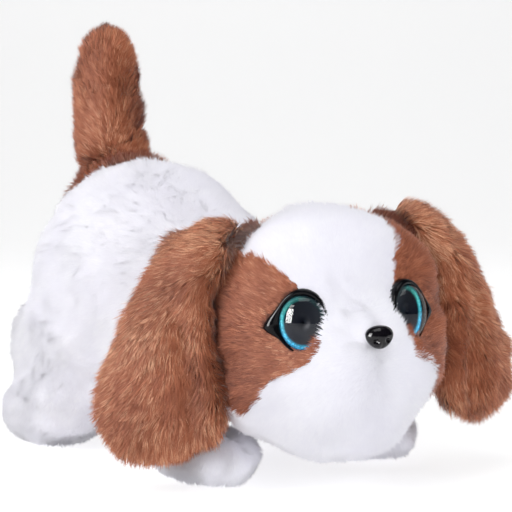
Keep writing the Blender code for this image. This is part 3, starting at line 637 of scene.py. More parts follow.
def patch_edge(x, z):
    """How far from the middle the brown round the eyes starts, at a height on the head and on either side."""
    heights = (-30, -22, -13, -6, 0, 8, 18, 25, 29, 32, 44, 62)
    right = (38, 36, 32, 21.5, 16.5, 14.5, 17.5, 25, 31, 37, 40, 40)
    left = (36, 33, 28, 17.5, 15.5, 14.5, 15, 16.5, 18.5, 21, 23, 18)
    return np.where(x < 0, np.interp(z, heights, right), np.interp(z, heights, left))


def panel_of(p):
    """0 white, 1 right patch, 2 left patch, 3 back, for points in head millimetres."""
    x, y, z = p.T
    wave = 0.8 * np.sin(z * 0.35) + 0.5 * np.sin(x * 0.5 + y * 0.4)
    edge = patch_edge(x, z) + wave * 0.6
    floor = -25.5 + 0.10 * (np.abs(x) - 30) + wave * 0.5
    side = (np.abs(x) > edge) & (z > floor) & (y < 16)
    crown = 2.0 + 9 * np.exp(-(x / 17) ** 2) - 4 * np.clip((np.abs(x) - 26) / 8, 0, 1)
    crown -= 8 * np.clip((x - 6) / 12, 0, 1)
    back = (y > np.where(z > 26, crown, 15)) & (z > -18)
    back |= np.linalg.norm(np.stack([np.abs(x) - 34, y - 6, z - 40]), axis=0) < 8.5
    panel = np.zeros(len(p), int)
    panel[side & (x < 0)] = 1
    panel[side & (x > 0)] = 2
    panel[back] = 3
    return panel


def eye_frame(sign):
    """(rotation, centre) of an eye: x to the puppy's left, y up and z out of the head, centre in head mm."""
    turn = rotation("Z", sign * EYE_YAW) @ rotation("X", 90) @ rotation("X", -4)
    return turn, EYE_CENTRE * np.array([sign, 1, 1])


def apart(angle, degrees):
    """How far an angle is from a direction, between -pi and pi."""
    return np.angle(np.exp(1j * (angle - math.radians(degrees))))


def rim_reach(angle):
    """The eye rim's outer radius by direction: 0 is outwards, and its corner points there and a little down."""
    off = apart(angle, -6)
    upper = np.exp(-((apart(angle, 95) / 0.9) ** 2))
    return 11.9 + 1.2 * upper + 6.8 * np.exp(-np.abs(off / np.where(off < 0, 0.24, 0.36)) ** 1.5)


def past_rim(p, sign):
    """For points in head millimetres: how far outside an eye's rim they lie, in which direction of the eye,
    made round and counted from its outer side, and how high over it."""
    turn, centre = eye_frame(sign)
    x, y, height = ((p - centre) @ turn * np.array([sign / EYE_NARROW, 1, 1])).T
    angle = np.arctan2(y, x)
    return np.hypot(x, y) - rim_reach(angle), angle, height


def near_eye(p, spare):
    """Where points in head millimetres lie over an eye and its rim, with spare added round it."""
    hit = np.zeros(len(p), bool)
    for _, sign in SIDES:
        gap, _, height = past_rim(p, sign)
        hit |= (gap < spare) & (height > -16)
    return hit


def sagged(p):
    """The soft jaw hangs a little towards the puppy's right, and the chin is flattened by its own weight."""
    low = np.clip((-8 - p[:, 2]) / 26, 0, 1)
    low = low * low * (3 - 2 * low)
    under = np.clip((-38 - p[:, 2]) / 12, 0, 1)
    return p + columns(-4.5 * low, 0, 2.6 * under)


def head_panels():
    """The head's cover as one stuffed form, cut into its white, its two eye patches and its back."""
    points, faces = head_form(72, 54, 3.2)
    cover = link_mesh("cover", mesh_from("cover", from_head(points), faces), WHITE_BACKING)
    remesh(cover, 0.003, 3)
    p = to_head(read_points(cover.data))
    labels = panel_of(p)
    shifted = [panel_of(p + np.array(step)) for step in ((2.2, 0, 0), (-2.2, 0, 0), (0, 0, 2.2), (0, 2.2, 0))]
    seams = np.any([labels != other for other in shifted], axis=0)
    middle = (np.abs(p[:, 0]) < 1.8) & (p[:, 2] < -14)
    puff(cover, np.ones(len(p)), seams | middle | near_eye(p, 1.0), 0.0016)
    here = read_points(cover.data)
    bumps = 0.0009 * drift(here, 0.02, 5)[:, 0]
    write_points(cover.data, here + read_normals(cover.data) * bumps[:, None])
    modify(cover, "SUBSURF", levels=1, render_levels=1)
    bake_modifiers(cover)
    points = read_points(cover.data)
    faces = np.array([list(f.vertices) for f in cover.data.polygons])
    centres = points[faces].mean(1)
    p = to_head(centres)
    neck = (p[:, 1] > 12) & (np.hypot(p[:, 0], p[:, 2] + 8) < 18)
    nose = np.linalg.norm((p - NOSE_CENTRE) / np.array([6.0, 9.0, 4.6]), axis=1) < 1
    labels = panel_of(p)
    labels[near_eye(p, -1.6) | neck | nose] = -1
    points = from_head(sagged(to_head(points)))
    named = [("head_white", WHITE_BACKING, ["head_plush"])]
    named += [(f"eye_patch_{side}", BROWN_BACKING, [f"eye_patch_{side}"]) for side, _ in SIDES]
    named.append(("head_back", BROWN_BACKING, []))
    write_points(cover.data, points)
    normals = unit(blur(cover.data, read_normals(cover.data), 4))
    full = np.ones(len(points))
    made = [panel(f"panel_{name}", points, normals, faces[labels == number], full, material, nodes, "head")
            for number, (name, material, nodes) in enumerate(named)]
    bpy.data.objects.remove(cover)
    return made


PANELS = head_panels()


# ---------------------------------------------------------------- pile

SURFACE = tree_of([TORSO, *LEGS, TAIL_RING, *EARS, TAIL, TAIL_SLEEVE, NECK_SLEEVE, *PANELS])
RIBBON = ((0, 1, 3, 2), (2, 3, 4))
RIBBON_UV = (((0.2, 0.1), (0.8, 0.1), (0.8, 0.5), (0.2, 0.5)), ((0.2, 0.5), (0.8, 0.5), (0.5, 0.9)))
CONE = ((0, 1, 3), (1, 2, 3), (2, 0, 3))
CONE_UV = tuple(((k / 3 + 0.03, 0.1), (k / 3 + 0.30, 0.1), (k / 3 + 0.165, 0.9)) for k in range(3))


def strand_mesh(name, points, normals, tone, along):
    """A mesh of tapered strands, ribbons of five points or cones of four, with one small UV cell for each."""
    count, each = points.shape[:2]
    shape, spots = (RIBBON, RIBBON_UV) if each == 5 else (CONE, CONE_UV)
    mesh = bpy.data.meshes.new(name)
    mesh.vertices.add(each * count)
    mesh.vertices.foreach_set("co", points.astype(np.float32).ravel())
    corners = np.concatenate(shape)
    index = (np.arange(count)[:, None] * each + corners).ravel()
    mesh.loops.add(len(index))
    mesh.loops.foreach_set("vertex_index", index.astype(np.int32))
    mesh.polygons.add(len(shape) * count)
    firsts = np.cumsum([0] + [len(face) for face in shape[:-1]])
    starts = (np.arange(count)[:, None] * len(corners) + firsts).ravel()
    mesh.polygons.foreach_set("loop_start", starts.astype(np.int32))
    side = math.ceil(math.sqrt(count))
    cell = np.stack([np.arange(count) % side, np.arange(count) // side], 1)[:, None, :]
    uv = ((cell + np.concatenate(spots)) / side).reshape(-1, 2)
    mesh.update(calc_edges=True)
    layer = mesh.uv_layers.new(name="OFBake")
    layer.data.foreach_set("uv", uv.astype(np.float32).ravel())
    for attribute, values in (("tone", np.repeat(tone, each)), ("along", np.tile(along, count))):
        mesh.attributes.new(attribute, "FLOAT", "POINT").data.foreach_set("value", values.astype(np.float32))
    mesh.shade_smooth()
    mesh.normals_split_custom_set_from_vertices(np.repeat(normals, each, axis=0))
    return mesh


def scatter(skins, count, keep, rng):
    """The roots, normals and pile depths of count strands on the skins, as thick on each as keep says."""
    grounds = [GROUND.get(skin.name) or triangles_of(skin.data) for skin in skins]
    corners, normals, depths = (np.concatenate(parts) for parts in zip(*grounds))
    area = np.linalg.norm(np.cross(corners[:, 1] - corners[:, 0], corners[:, 2] - corners[:, 0]), axis=1)
    share = area * keep(corners.mean(1), unit(normals.mean(1)))
    picked = rng.choice(len(area), count, p=share / share.sum())
    u, v = rng.random((2, count))
    flip = u + v > 1
    u, v = np.where(flip, 1 - u, u), np.where(flip, 1 - v, v)
    weight = np.stack([1 - u - v, u, v], 1)[:, :, None]
    return ((corners[picked] * weight).sum(1), unit((normals[picked] * weight).sum(1)),
            (depths[picked] * weight[:, :, 0]).sum(1))


def leaders_of(roots, rng):
    """For each strand, the nearest of the few that the others lean to."""
    leaders = rng.choice(len(roots), max(8, len(roots) // 16), replace=False)
    tree = kdtree.KDTree(len(leaders))
    for number, leader in enumerate(leaders):
        tree.insert(roots[leader], number)
    tree.balance()
    return leaders[np.array([tree.find(r)[1] for r in roots])]


def cones(base, tip, across, other, wide, normals):
    """(points, normals, heights) of strands that look the same from every side, so that pale pile stays even."""
    ring = [across * math.cos(t) + other * math.sin(t) for t in np.radians((0, 120, 240))]
    return np.stack([base + r * wide for r in ring] + [tip], 1), normals, np.array([0, 0, 0, 1.0])


def ribbons(base, knee, tip, across, way, wide, normals):
    """(points, normals, heights) of flat strands bent at the knee, with their faces outwards."""
    sign = np.sign((np.cross(across, way) * normals).sum(1, keepdims=True))
    half = across * np.where(sign == 0, 1, sign) * wide
    points = np.stack([base - half, base + half, knee - half * 0.85, knee + half * 0.85, tip], 1)
    shading = unit(normals + unit(np.cross(half, way)) * 0.35 + way * 0.25)
    return points, shading, np.array([0, 0, 0.5, 0.5, 1.0])


def everywhere(points, normals):
    return np.ones(len(points))


def untrimmed(roots):
    return np.ones(len(roots))


def unshaded(roots):
    return np.zeros(len(roots))


# Painted light: every strand of a pile made lighter by amount.
def lighter(amount):
    return lambda roots: np.full(len(roots), amount)


def coat(name, skins, body, material, count, length, width, lean, flow, clump, seed, keep=everywhere,
         trim=untrimmed, shade=unshaded):
    """A pile of strands on the skins, which rides body, or stays where it is made for a bend's arguments. length
    and width are in metres, lean 0 stands up and 1 lies flat, clump draws tips together, and keep, trim and shade
    say by place how thick the pile is, how long, and how much lighter or darker; shade paints in light and shade,
    and darkens the eye patches' tone."""
    rng = np.random.default_rng(seed)
    count = int(count * STRANDS)
    width = width / math.sqrt(STRANDS)
    roots, normals, depth = scatter(skins, count, keep, rng)
    clear = 0.3 * length
    open_air = clearances(SURFACE, roots + normals * 0.0008, normals, clear) >= clear
    roots, normals, depth = roots[open_air], normals[open_air], depth[open_air]
    count = len(roots)
    along_skin = flow(roots)
    along_skin = unit(along_skin + 0.45 * drift(roots, 0.016, seed + 1) + 0.25 * drift(roots, 0.006, seed + 2))
    side_way = along_skin - normals * (along_skin * normals).sum(1, keepdims=True)
    side_way = unit(side_way + 0.22 * rng.normal(size=(count, 3)))
    side_way = unit(side_way - normals * (side_way * normals).sum(1, keepdims=True))
    angle = np.clip(lean * math.pi / 2 * (1 + 0.35 * drift(roots, 0.012, seed + 3)[:, 0])
                    + rng.normal(size=count) * 0.16, 0.03, 1.5)[:, None]
    tall = length * (1 + 0.16 * drift(roots, 0.009, seed + 4)[:, :1]) * rng.uniform(0.72, 1.12, (count, 1))
    tall *= ((0.45 + 0.55 * np.clip(depth, 0, 1)) * trim(roots))[:, None]
    base = roots - normals * 0.0004
    knee = base + tall * 0.5 * (normals * np.cos(angle * 0.6) + side_way * np.sin(angle * 0.6))
    tip = knee + tall * 0.5 * (normals * np.cos(angle * 1.3) + side_way * np.sin(angle * 1.3))
    mine = leaders_of(roots, rng)
    pull = clump * rng.uniform(0.4, 1.0, (count, 1))
    stray = np.linalg.norm(roots - roots[mine], axis=1, keepdims=True)
    pull = pull * np.clip(1.5 - stray / (0.6 * length), 0, 1)
    knee += (knee[mine] - knee) * pull * 0.35
    tip += (tip[mine] - tip) * pull * 0.85
    for part in (base, knee, tip):
        part[:, 2] = np.maximum(part[:, 2], TIP_GAP)
    way = unit(tip - base)
    across = unit(np.cross(side_way, normals))
    other = unit(np.cross(way, across))
    wide = width * 0.5 * rng.uniform(0.75, 1.25, (count, 1))
    if material is WHITE:
        points, shading, height = cones(base, tip, across, other, wide, normals)
    else:
        twist = rng.uniform(-0.9, 0.9, (count, 1))
        across = unit(across * np.cos(twist) + other * np.sin(twist))
        points, shading, height = ribbons(base, knee, tip, across, way, wide, normals)
    leader_tone = rng.random(count)[mine]
    # shade(roots) adds painted light and shade to the tone, by place.
    tone = np.clip(0.45 * leader_tone + 0.45 * rng.random(count) + 0.1 + shade(roots)
                   + 0.12 * drift(roots, 0.02, seed + 6)[:, 1], 0, 1)
    obj = link_mesh(name, strand_mesh(name, points, shading, tone, height), material, smooth=False)
    # Pale pile lets the light through, so there the skins alone cast the shadows.
    obj.visible_shadow = obj.visible_diffuse = material is not WHITE
    dress(obj, body)


def away_from_nose(roots):
    p = to_head(roots)
    out = p - (NOSE_CENTRE + np.array([0, -6, -2]))
    out[:, 1] += 14
    bridge = np.exp(-((p[:, 0] / 7) ** 2) - ((p[:, 2] - 10) / 5) ** 2) * (p[:, 1] < -30)
    out += bridge[:, None] * np.array([0, -20, -30])
    return unit(out) @ HEAD_TURN.T


def down_and_back(roots):
    return unit(columns(0.25 * np.sign(to_puppy(roots)[:, 0]), 0.8, -0.55))


def down_the_leg(roots):
    return unit(columns(0.3 * np.sign(to_puppy(roots)[:, 0]), -0.45, -0.8))


def down_the_ear(roots):
    x, y, z = to_head(roots).T
    high = np.clip((z - 18) / 20, 0, 1)[:, None]
    hanging = columns(0.25 * np.sign(x), 0.035 * (y - 4), -0.9)
    return unit(hanging * (1 - high) + columns(np.sign(x), 0.2, -0.5) * high) @ HEAD_TURN.T


def up_the_tail(roots):
    return np.tile(TAIL_WAY * 0.9, (len(roots), 1))


def down_the_rump(roots):
    """Away from the tail's foot on every side."""
    return unit(off_tail_axis(to_puppy(roots)) + np.array([0, 0, -3.0]))


def over_the_nose(roots):
    """Across the nose's near edge."""
    p = to_head(roots)
    return unit(columns(NOSE_SHIFT - p[:, 0], -3.0, 2.0 - p[:, 2])) @ HEAD_TURN.T


def nose_brow(points, normals):
    p = to_head(points)
    return ((p[:, 1] < -38) & (np.hypot(p[:, 0] + 3.2, p[:, 2] - 4.6) < 5.5)).astype(float)


def beside_root(points, normals):
    """The head's cloth round each ear's root."""
    p = to_head(points)
    off = np.linalg.norm(np.stack([np.abs(p[:, 0]) - 34, p[:, 1] - 8, p[:, 2] - 38]), axis=0)
    return (off < 12).astype(float)


def out_to_the_ear(roots):
    return unit(columns(0.9 * np.sign(to_head(roots)[:, 0]), -0.1, 0.45)) @ HEAD_TURN.T


def ear_painted_shading(roots):
    """Painted shade in the fold along the front edge, and painted light on the back edge, the tip and the top."""
    p = to_head(roots)
    fold = np.clip((-2 - p[:, 1]) / 8, 0, 1) * np.clip((p[:, 2] + 22) / 16, 0, 1)
    edge = np.clip((p[:, 1] - 14) / 8, 0, 1) + np.clip((-32 - p[:, 2]) / 12, 0, 1)
    return 0.08 - 0.38 * fold + 0.16 * edge + 0.16 * np.clip((p[:, 2] - 24) / 12, 0, 1)


def patch_tone_and_painted_shade(roots):
    """A little darker all over, and darker still towards the ear with painted shade."""
    return -0.10 - 0.26 * np.clip((np.abs(to_head(roots)[:, 0]) - 34) / 10, 0, 1)


def root_of_ear(points, normals):
    return (to_head(points)[:, 2] > 30).astype(float)


def above_sole(points, normals):
    """No pile under the feet and belly, where the cloth rests or faces the floor closely."""
    return np.where((points[:, 2] < 0.004) & (normals[:, 2] < -0.6), 0.05, 1.0)


def torso_hair(points, normals):
    """Thin under the belly and none on the lining round the inner shell."""
    p = to_puppy(points)
    off = p - np.array([0, 57, 62])
    lining = ((np.abs(off) / np.array([34, 60, 42])) ** 3).sum(1) ** (1 / 3) < 1.1
    lining &= (off * normals).sum(1) < 0
    return np.where(lining, 0.0, np.where((p[:, 2] < 32) & (normals[:, 2] < -0.5), 0.25, 1.0))


def short_by_eyes(roots):
    full = np.ones(len(roots))
    for _, sign in SIDES:
        gap, angle, height = past_rim(to_head(roots), sign)
        least = 0.45 + 0.45 * np.exp(-((apart(angle, 215) / 0.9) ** 2))
        full = np.minimum(full, np.where(height > -18, least + (1 - least) * np.clip(gap / 7, 0, 1), 1))
    return full


def off_the_eyes(points, normals):
    return np.where(near_eye(to_head(points), -0.4), 0.0, 1.0)


def build_coats():
    white, right, left, back = PANELS
    eyes = {"keep": off_the_eyes, "trim": short_by_eyes}
    coat("pile_torso", [TORSO], "body", WHITE, 66000, 0.0066, 0.00085, 0.62, down_and_back, 0.35, 11,
         torso_hair)
    coat("pile_torso_under", [TORSO], "body", WHITE, 60000, 0.0046, 0.00100, 0.5, down_and_back, 0.3, 12,
         torso_hair)
    for node, leg in zip(BODY_NODES[1:], LEGS):
        coat(f"pile_{node}", [leg], "body", WHITE, 34000, 0.0058, 0.00090, 0.66, down_the_leg, 0.35, 21,
             above_sole)
    coat("pile_head_white", [white], "head", WHITE, 66000, 0.0060, 0.00075, 0.55, away_from_nose, 0.32, 41, **eyes)
    coat("pile_head_under", [white], "head", WHITE, 50000, 0.0042, 0.00090, 0.35, away_from_nose, 0.3, 42, **eyes)
    for seed, (side, _), patch in zip((51, 52), SIDES, (right, left)):
        coat(f"pile_patch_{side}", [patch], "head", BROWN, 40000, 0.0072, 0.00034, 0.6, away_from_nose, 0.45,
             seed, shade=patch_tone_and_painted_shade, **eyes)
    # Painted light: the brown pile on the back of the head is made lighter.
    coat("pile_head_back", [back], "head", BROWN, 34000, 0.0078, 0.00042, 0.5, away_from_nose, 0.5, 55,
         shade=lighter(0.12))
    coat("pile_ear_roots", [right, left, back], "head", BROWN, 12000, 0.0105, 0.00036, 0.4, out_to_the_ear, 0.45,
         57, beside_root)
    coat("pile_nose_brow", [white], "head", WHITE, 3000, 0.0098, 0.00060, 0.36, over_the_nose, 0.4, 58, nose_brow)
    for (side, _), ear in zip(SIDES, EARS):
        coat(f"pile_ear_{side}", [ear], f"{side}_ear", BROWN, 66000, 0.0090, 0.00034, 0.56, down_the_ear, 0.5,
             61, shade=ear_painted_shading)
        # Painted light: the pile at the top of each ear is made lighter.
        coat(f"pile_ear_top_{side}", [ear], f"{side}_ear", BROWN, 9000, 0.0085, 0.00034, 0.6, down_the_ear, 0.5,
             62, root_of_ear, shade=lighter(0.2))
    coat("pile_tail", [TAIL], "tail", BROWN, 60000, 0.0094, 0.00038, 0.42, up_the_tail, 0.55, 71)
    coat("pile_tail_sleeve", [TAIL_SLEEVE], TAIL_BEND, BROWN, 24000, 0.0080, 0.00038, 0.42, up_the_tail, 0.45, 72)
    coat("pile_neck", [NECK_SLEEVE], NECK_BEND, WHITE, 16000, 0.0050, 0.00090, 0.5, down_and_back, 0.3, 74)
    coat("pile_tail_ring", [TAIL_RING], "body", BROWN, 22000, 0.0095, 0.00040, 0.5, down_the_rump, 0.4, 73)


build_coats()


# ---------------------------------------------------------------- eyes and nose

GLOSS_BLACK = moulded_material("gloss_black", (0.003, 0.003, 0.004), 0.10, 0.3, Specular_IOR_Level=0.16)


def loft(rings, closed_ends=True):
    """(points, faces) through rings of equal length. The ends close at their own centres, or the last ring joins
    the first."""
    count = len(rings[0])
    points, faces = np.concatenate(rings), tube_faces(len(rings), count)
    if closed_ends:
        points = np.concatenate([points, [rings[0].mean(0)], [rings[-1].mean(0)]])
        return points, faces + end_faces(len(rings), count)
    last = (len(rings) - 1) * count
    return points, faces + [(last + i, last + (i + 1) % count, (i + 1) % count, i) for i in range(count)]


def eye_piece(name, sign, rings, material, closed_ends=True):
    """A piece of an eye lofted from rings of (radius, height), in millimetres. Each may depend on the direction."""
    turns = np.linspace(0, 2 * math.pi, 64, endpoint=False)
    lofted = []
    for radius, height in rings:
        r = radius(turns) if callable(radius) else radius
        z = height(turns) if callable(height) else height
        lofted.append(columns(r * np.cos(turns) * EYE_NARROW * sign, r * np.sin(turns), z))
    points, faces = loft(lofted, closed_ends)
    if sign < 0:  # mirrored, so each face is turned round
        faces = [face[::-1] for face in faces]
    turn, centre = eye_frame(sign)
    obj = link_mesh(name, mesh_from(name, points * MM, faces), material)
    place = Matrix((HEAD_TURN @ turn).tolist()).to_4x4()
    place.translation = Vector(from_head(centre))
    obj.matrix_world = place
    return obj


def outline(share):
    """A radius between the lens and the rim's outer edge."""
    return lambda turns: 11.2 + (rim_reach(turns) - 11.2) * share


def slope(base, corner):
    """A height that falls away by corner towards the rim's point."""
    return lambda turns: base + corner * np.exp(-np.abs(apart(turns, -9) / 0.42) ** 1.6)


IRIS_RADIUS = 10.6


def iris_material(sign):
    """A black pupil in a ring of glitter with painted glints, brightest on its outer and lower side."""
    n = Nodes(f"iris_{'left' if sign > 0 else 'right'}", 0.4, Specular_IOR_Level=0.1)
    place = n.add("ShaderNodeTexCoord").outputs["Object"]
    scaled = n.add("ShaderNodeVectorMath", operation="MULTIPLY")  # to millimetres, the width made round
    scaled.inputs[1].default_value = (1000 / EYE_NARROW, 1000, 0)
    n.link(place, scaled, 0)
    length = n.add("ShaderNodeVectorMath", operation="LENGTH")
    n.link(scaled.outputs[0], length, 0)
    radius = n.add("ShaderNodeMapRange", From_Max=IRIS_RADIUS)
    n.link(length.outputs["Value"], radius, "Value")
    ring = n.ramp(radius.outputs[0], [(0.0, (0.004, 0.004, 0.008)), (0.77, (0.005, 0.006, 0.012)),
                                      (0.80, (0.015, 0.12, 0.15)), (0.84, (0.04, 0.38, 0.42)),
                                      (0.89, (0.17, 0.64, 0.70)), (0.95, (0.04, 0.34, 0.46)),
                                      (1.0, (0.004, 0.02, 0.04))])
    direction = n.add("ShaderNodeVectorMath", operation="DOT_PRODUCT")
    direction.inputs[1].default_value = (sign * 0.080, -0.050, 0)
    n.link(scaled.outputs[0], direction, 0)
    bright = n.add("ShaderNodeMapRange", From_Min=-0.60, From_Max=0.65, To_Min=0.04, To_Max=1.0)
    n.link(direction.outputs["Value"], bright, "Value")
    # Glitter flakes: a printed speckle whose brightest flakes go past white as painted glints.
    flakes = n.add("ShaderNodeTexVoronoi", Scale=2600.0)
    n.link(place, flakes, "Vector")
    glitter_and_painted_glint = n.ramp(flakes.outputs["Color"], [(0.25, (0.55, 0.6, 0.6)), (0.6, (0.95, 1.0, 1.0)),
                                               (0.85, (1.5, 1.7, 1.6))])
    split = n.add("ShaderNodeSeparateXYZ")
    n.link(place, split, "Vector")
    upper = n.add("ShaderNodeMapRange", From_Min=-0.009, From_Max=0.009)
    n.link(split.outputs["Y"], upper, "Value")
    tint = n.ramp(upper.outputs[0], [(0.2, (0.62, 0.86, 1.25)), (0.8, (1.0, 1.05, 0.86))])
    colour = n.mix(1.0, n.mix(1.0, ring, glitter_and_painted_glint, "MULTIPLY"), tint, "MULTIPLY")
    return n.finish(n.mix(bright.outputs[0], (0.004, 0.006, 0.012), colour))


def dome_material():
    """A clear dome: it lets straight light through and its outer face mirrors by angle."""
    n = Nodes("clear_dome_gloss")
    n.tree.nodes.remove(n.shader)
    clear = n.add("ShaderNodeBsdfTransparent")
    shine = n.add("ShaderNodeBsdfGlossy", Roughness=0.02)
    mirror = n.add("ShaderNodeFresnel", IOR=1.45)
    front = n.add("ShaderNodeMath", operation="SUBTRACT")
    front.inputs[0].default_value = 1.0
    n.link(n.add("ShaderNodeNewGeometry").outputs["Backfacing"], front, 1)
    outer = n.add("ShaderNodeMath", operation="MULTIPLY")
    n.link(mirror.outputs[0], outer, 0)
    n.link(front.outputs[0], outer, 1)
    mixed = n.add("ShaderNodeMixShader")
    for socket, source in enumerate((outer, clear, shine)):
        n.link(source.outputs[0], mixed, socket)
    n.link(mixed.outputs[0], n.tree.nodes["Material Output"], "Surface")
    return n.material


DOME = dome_material()


def build_eye(side, sign):
    """The black rim, the printed iris disc and the clear dome."""
    rim = [(10.75, -5.6), (10.72, -2.4), (10.80, -0.4), (11.0, slope(0.15, -0.1)),
           (outline(0.22), slope(0.45, -0.1)), (outline(0.6), slope(0.35, 0.3)),
           (outline(0.88), slope(-0.3, -0.3)), (outline(1.0), slope(-1.6, -1.3)),
           (outline(0.97), slope(-4.2, -2.0)), (outline(0.6), slope(-5.6, -2.0))]
    disc = [(0.6, -4.4), (0.6, -1.9), (4.0, -1.9), (7.2, -1.7), (9.0, -1.25), (10.0, -0.85),
            (IRIS_RADIUS, -0.75), (IRIS_RADIUS, -4.4)]
    curve = [(IRIS_RADIUS * math.sin(t), -0.3 + 5.3 * math.cos(t)) for t in np.radians(np.linspace(3, 90, 18))]
    dome = [(9.0, -1.1), (10.4, -0.6)] + curve[::-1]
    for name, rings, material, slot, node in (("rim", rim, GLOSS_BLACK, "black_plastic", "bezel"),
                                              ("iris_disc", disc, iris_material(sign), "iris_print", "iris"),
                                              ("dome", dome, DOME, "clear_dome", "lens")):
        piece = eye_piece(f"eye_{name}_{side}", sign, rings, material, closed_ends=name != "rim")
        dress(piece, "head", [f"eye_{node}_{side}"])


def nose_material():
    n = Nodes("nose_leather", 0.14, Specular_IOR_Level=0.35)
    cells = n.add("ShaderNodeTexVoronoi", Scale=1100.0)
    n.link(n.add("ShaderNodeTexCoord").outputs["Object"], cells, "Vector")
    n.bump(cells.outputs["Distance"], 0.25, 0.0003)
    black = [(0.0, (0.002, 0.002, 0.003)), (0.8, (0.006, 0.005, 0.007))]
    return n.finish(n.ramp(cells.outputs["Distance"], black))


def build_nose():
    """A rounded triangle with two nostril dents, wide at the top."""
    turns = np.linspace(0, 2 * math.pi, 48, endpoint=False)
    rings = []
    for tilt in np.linspace(-math.pi / 2, math.pi / 2, 33)[1:-1]:
        x, z = 5.4 * np.cos(tilt) * np.cos(turns), 4.5 * np.cos(tilt) * np.sin(turns)
        rings.append(columns(x * (1 + 0.05 * z), -4.2 * math.sin(tilt), z))
    points, faces = loft(rings)
    x, y, z = points.T
    front = np.clip((0.2 - y) / 3, 0, 1)
    dents = 0.5 * np.exp(-((x / 0.6) ** 2)) * np.clip(-z / 2, 0, 1)
    for _, sign in SIDES:
        dents += 1.7 * np.exp(-(((x - sign * 2.4) / 1.25) ** 2) - ((z + 1.0) / 0.95) ** 2)
    points[:, 1] += dents * front
    points = from_head(points + np.array([NOSE_SHIFT, -51.2, 2.6]))
    obj = link_mesh("nose_tip", mesh_from("nose_tip", points, faces), nose_material())
    dress(obj, "head", ["nose"])


for side, sign in SIDES:
    build_eye(side, sign)
build_nose()


# ---------------------------------------------------------------- finish on the carried-over CAD nodes

FINISHES = {
    "shell_plastic": moulded_material("shell_finish", (0.80, 0.80, 0.77), 0.42),
    "black_plastic": GLOSS_BLACK,
    "gear_plastic": moulded_material("gear_finish", (0.76, 0.72, 0.60), 0.38),
    "steel": moulded_material("steel_finish", (0.62, 0.62, 0.64), 0.3, 0.04, 1.0),
    "board_green": moulded_material("board_finish", (0.015, 0.17, 0.06), 0.45, 0.2),
    "board_black": moulded_material("chip_finish", (0.03, 0.03, 0.03), 0.5, 0.2),
    "cell_wrap": moulded_material("cell_finish", (0.40, 0.42, 0.48), 0.32, 0.08),
    "paper_cone": moulded_material("cone_finish", (0.07, 0.07, 0.07), 0.85, 0.25),
}
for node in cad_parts.values():
    for held in node.material_slots:
        name = held.material.name.split(".")[0] if held.material else ""
        if name in FINISHES:
            held.material = FINISHES[name]


# ---------------------------------------------------------------- floor, light and camera


CAMERA_AZIMUTH = -38.0
CAMERA_ELEVATION = 5.5
CAMERA_DISTANCE = 0.8
CAMERA_TARGET = Vector((0.0002, -0.0145, 0.088))
LAMP_TARGET = Vector((0, -0.02, 0.08))
PAPER_EDGE, PAPER_RISE, PAPER_BEND = 3.0, 1.6, 0.5
TENT_SIZE, TENT_POWER = 0.7, 1.85


def backdrop(name, mesh, glow, shade):
    """A pale sheet of the studio, which glows a little by itself."""
    n = Nodes(name, 0.9, Emission_Color=(1, 1, 1, 1), Emission_Strength=glow)
    n.finish(n.ramp(n.noise(3.0), [(0.0, (shade,) * 3), (1.0, (shade + 0.02,) * 3)]))
    sheet = link_mesh(name, mesh, n.material)
    return sheet


def stage():
    """A paper floor that turns up into a wall, and a far shell for what the paper leaves open."""
    turn = [(0.9 + PAPER_BEND * math.sin(t), PAPER_BEND - PAPER_BEND * math.cos(t))
            for t in np.linspace(0, math.pi / 2, 10)]
    profile = [(-PAPER_EDGE, 0.0)] + turn + [(turn[-1][0], PAPER_RISE)]
    points = [(x, y, z) for x in (-PAPER_EDGE, PAPER_EDGE) for y, z in profile]
    count = len(profile)
    faces = [(i, i + 1, count + i + 1, count + i) for i in range(count - 1)]
    paper = backdrop("floor", mesh_from("floor", points, faces), 0.55, 0.54)
    paper.rotation_euler = (0, 0, math.radians(CAMERA_AZIMUTH))
    shell = bmesh.new()
    bmesh.ops.create_uvsphere(shell, u_segments=48, v_segments=24, radius=4.0)
    mesh = bpy.data.meshes.new("far_shell")
    shell.to_mesh(mesh)
    shell.free()
    far = backdrop("far_shell", mesh, 0.80, 0.02)
    far.visible_diffuse = far.visible_glossy = far.visible_shadow = False


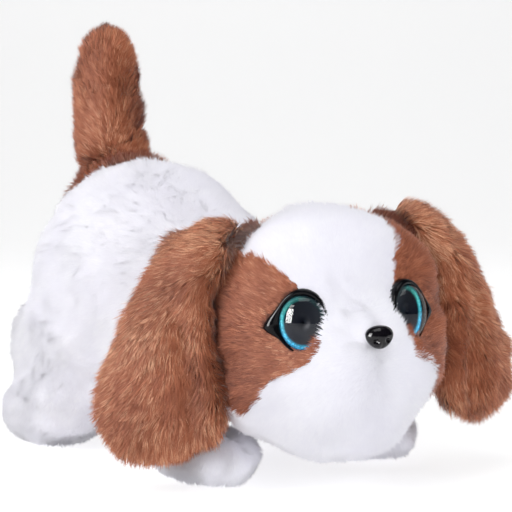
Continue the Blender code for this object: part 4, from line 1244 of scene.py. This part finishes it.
def aimed(name, data, target, azimuth, elevation, distance):
    """A lamp or camera that looks at target from an azimuth, 0 being the puppy's front, and an elevation."""
    a, e = math.radians(azimuth), math.radians(elevation)
    way = Vector((math.sin(a) * math.cos(e), -math.cos(a) * math.cos(e), math.sin(e)))
    obj = bpy.data.objects.new(name, data)
    obj.location = target + way * distance
    obj.rotation_euler = (-way).to_track_quat("-Z", "Y").to_euler()
    bpy.context.scene.collection.objects.link(obj)
    return obj


def soft_light(name, azimuth, elevation, distance, size, power, colour=(1, 1, 1)):
    light = bpy.data.lights.new(name, "AREA")
    light.shape = "RECTANGLE"
    light.size, light.size_y = size
    light.energy = power
    light.color = colour
    return aimed(name, light, LAMP_TARGET, azimuth, elevation, distance)


def camera():
    data = bpy.data.cameras.new("camera")
    data.lens = 132.2
    data.sensor_width = 36.0
    data.clip_end = 20
    place = CAMERA_TARGET, CAMERA_AZIMUTH, CAMERA_ELEVATION, CAMERA_DISTANCE
    bpy.context.scene.camera = aimed("camera", data, *place)


def lights():
    soft_light("key", -98, 30, 1.1, (0.36, 0.46), 4.2, (1.0, 0.985, 0.965))
    soft_light("fill", -12, 10, 1.2, (0.7, 0.7), 3.0, (0.97, 0.98, 1.0)).visible_glossy = False
    soft_light("top", -30, 80, 1.1, (0.8, 0.6), 3.4)
    soft_light("window", -92, 13, 1.1, (0.50, 0.60), 26.0).visible_diffuse = False
    for azimuth in range(-158, 140, 60):  # a tent of soft panels, which no reflection shows
        tent = soft_light(f"tent_{azimuth % 360}", azimuth, 27, 0.9, (TENT_SIZE, TENT_SIZE), TENT_POWER)
        tent.visible_glossy = tent.visible_camera = False
        tent.data.cycles.use_multiple_importance_sampling = False
    world = bpy.data.worlds.new("studio")
    world.use_nodes = True
    background = world.node_tree.nodes["Background"].inputs
    background["Color"].default_value = (0.93, 0.94, 1.0, 1)
    background["Strength"].default_value = 0.16
    bpy.context.scene.world = world
    world.cycles_visibility.glossy = False  # Blender needs the world to be in use before this


stage()
camera()
lights()
bpy.context.scene.view_settings.view_transform = "Standard"
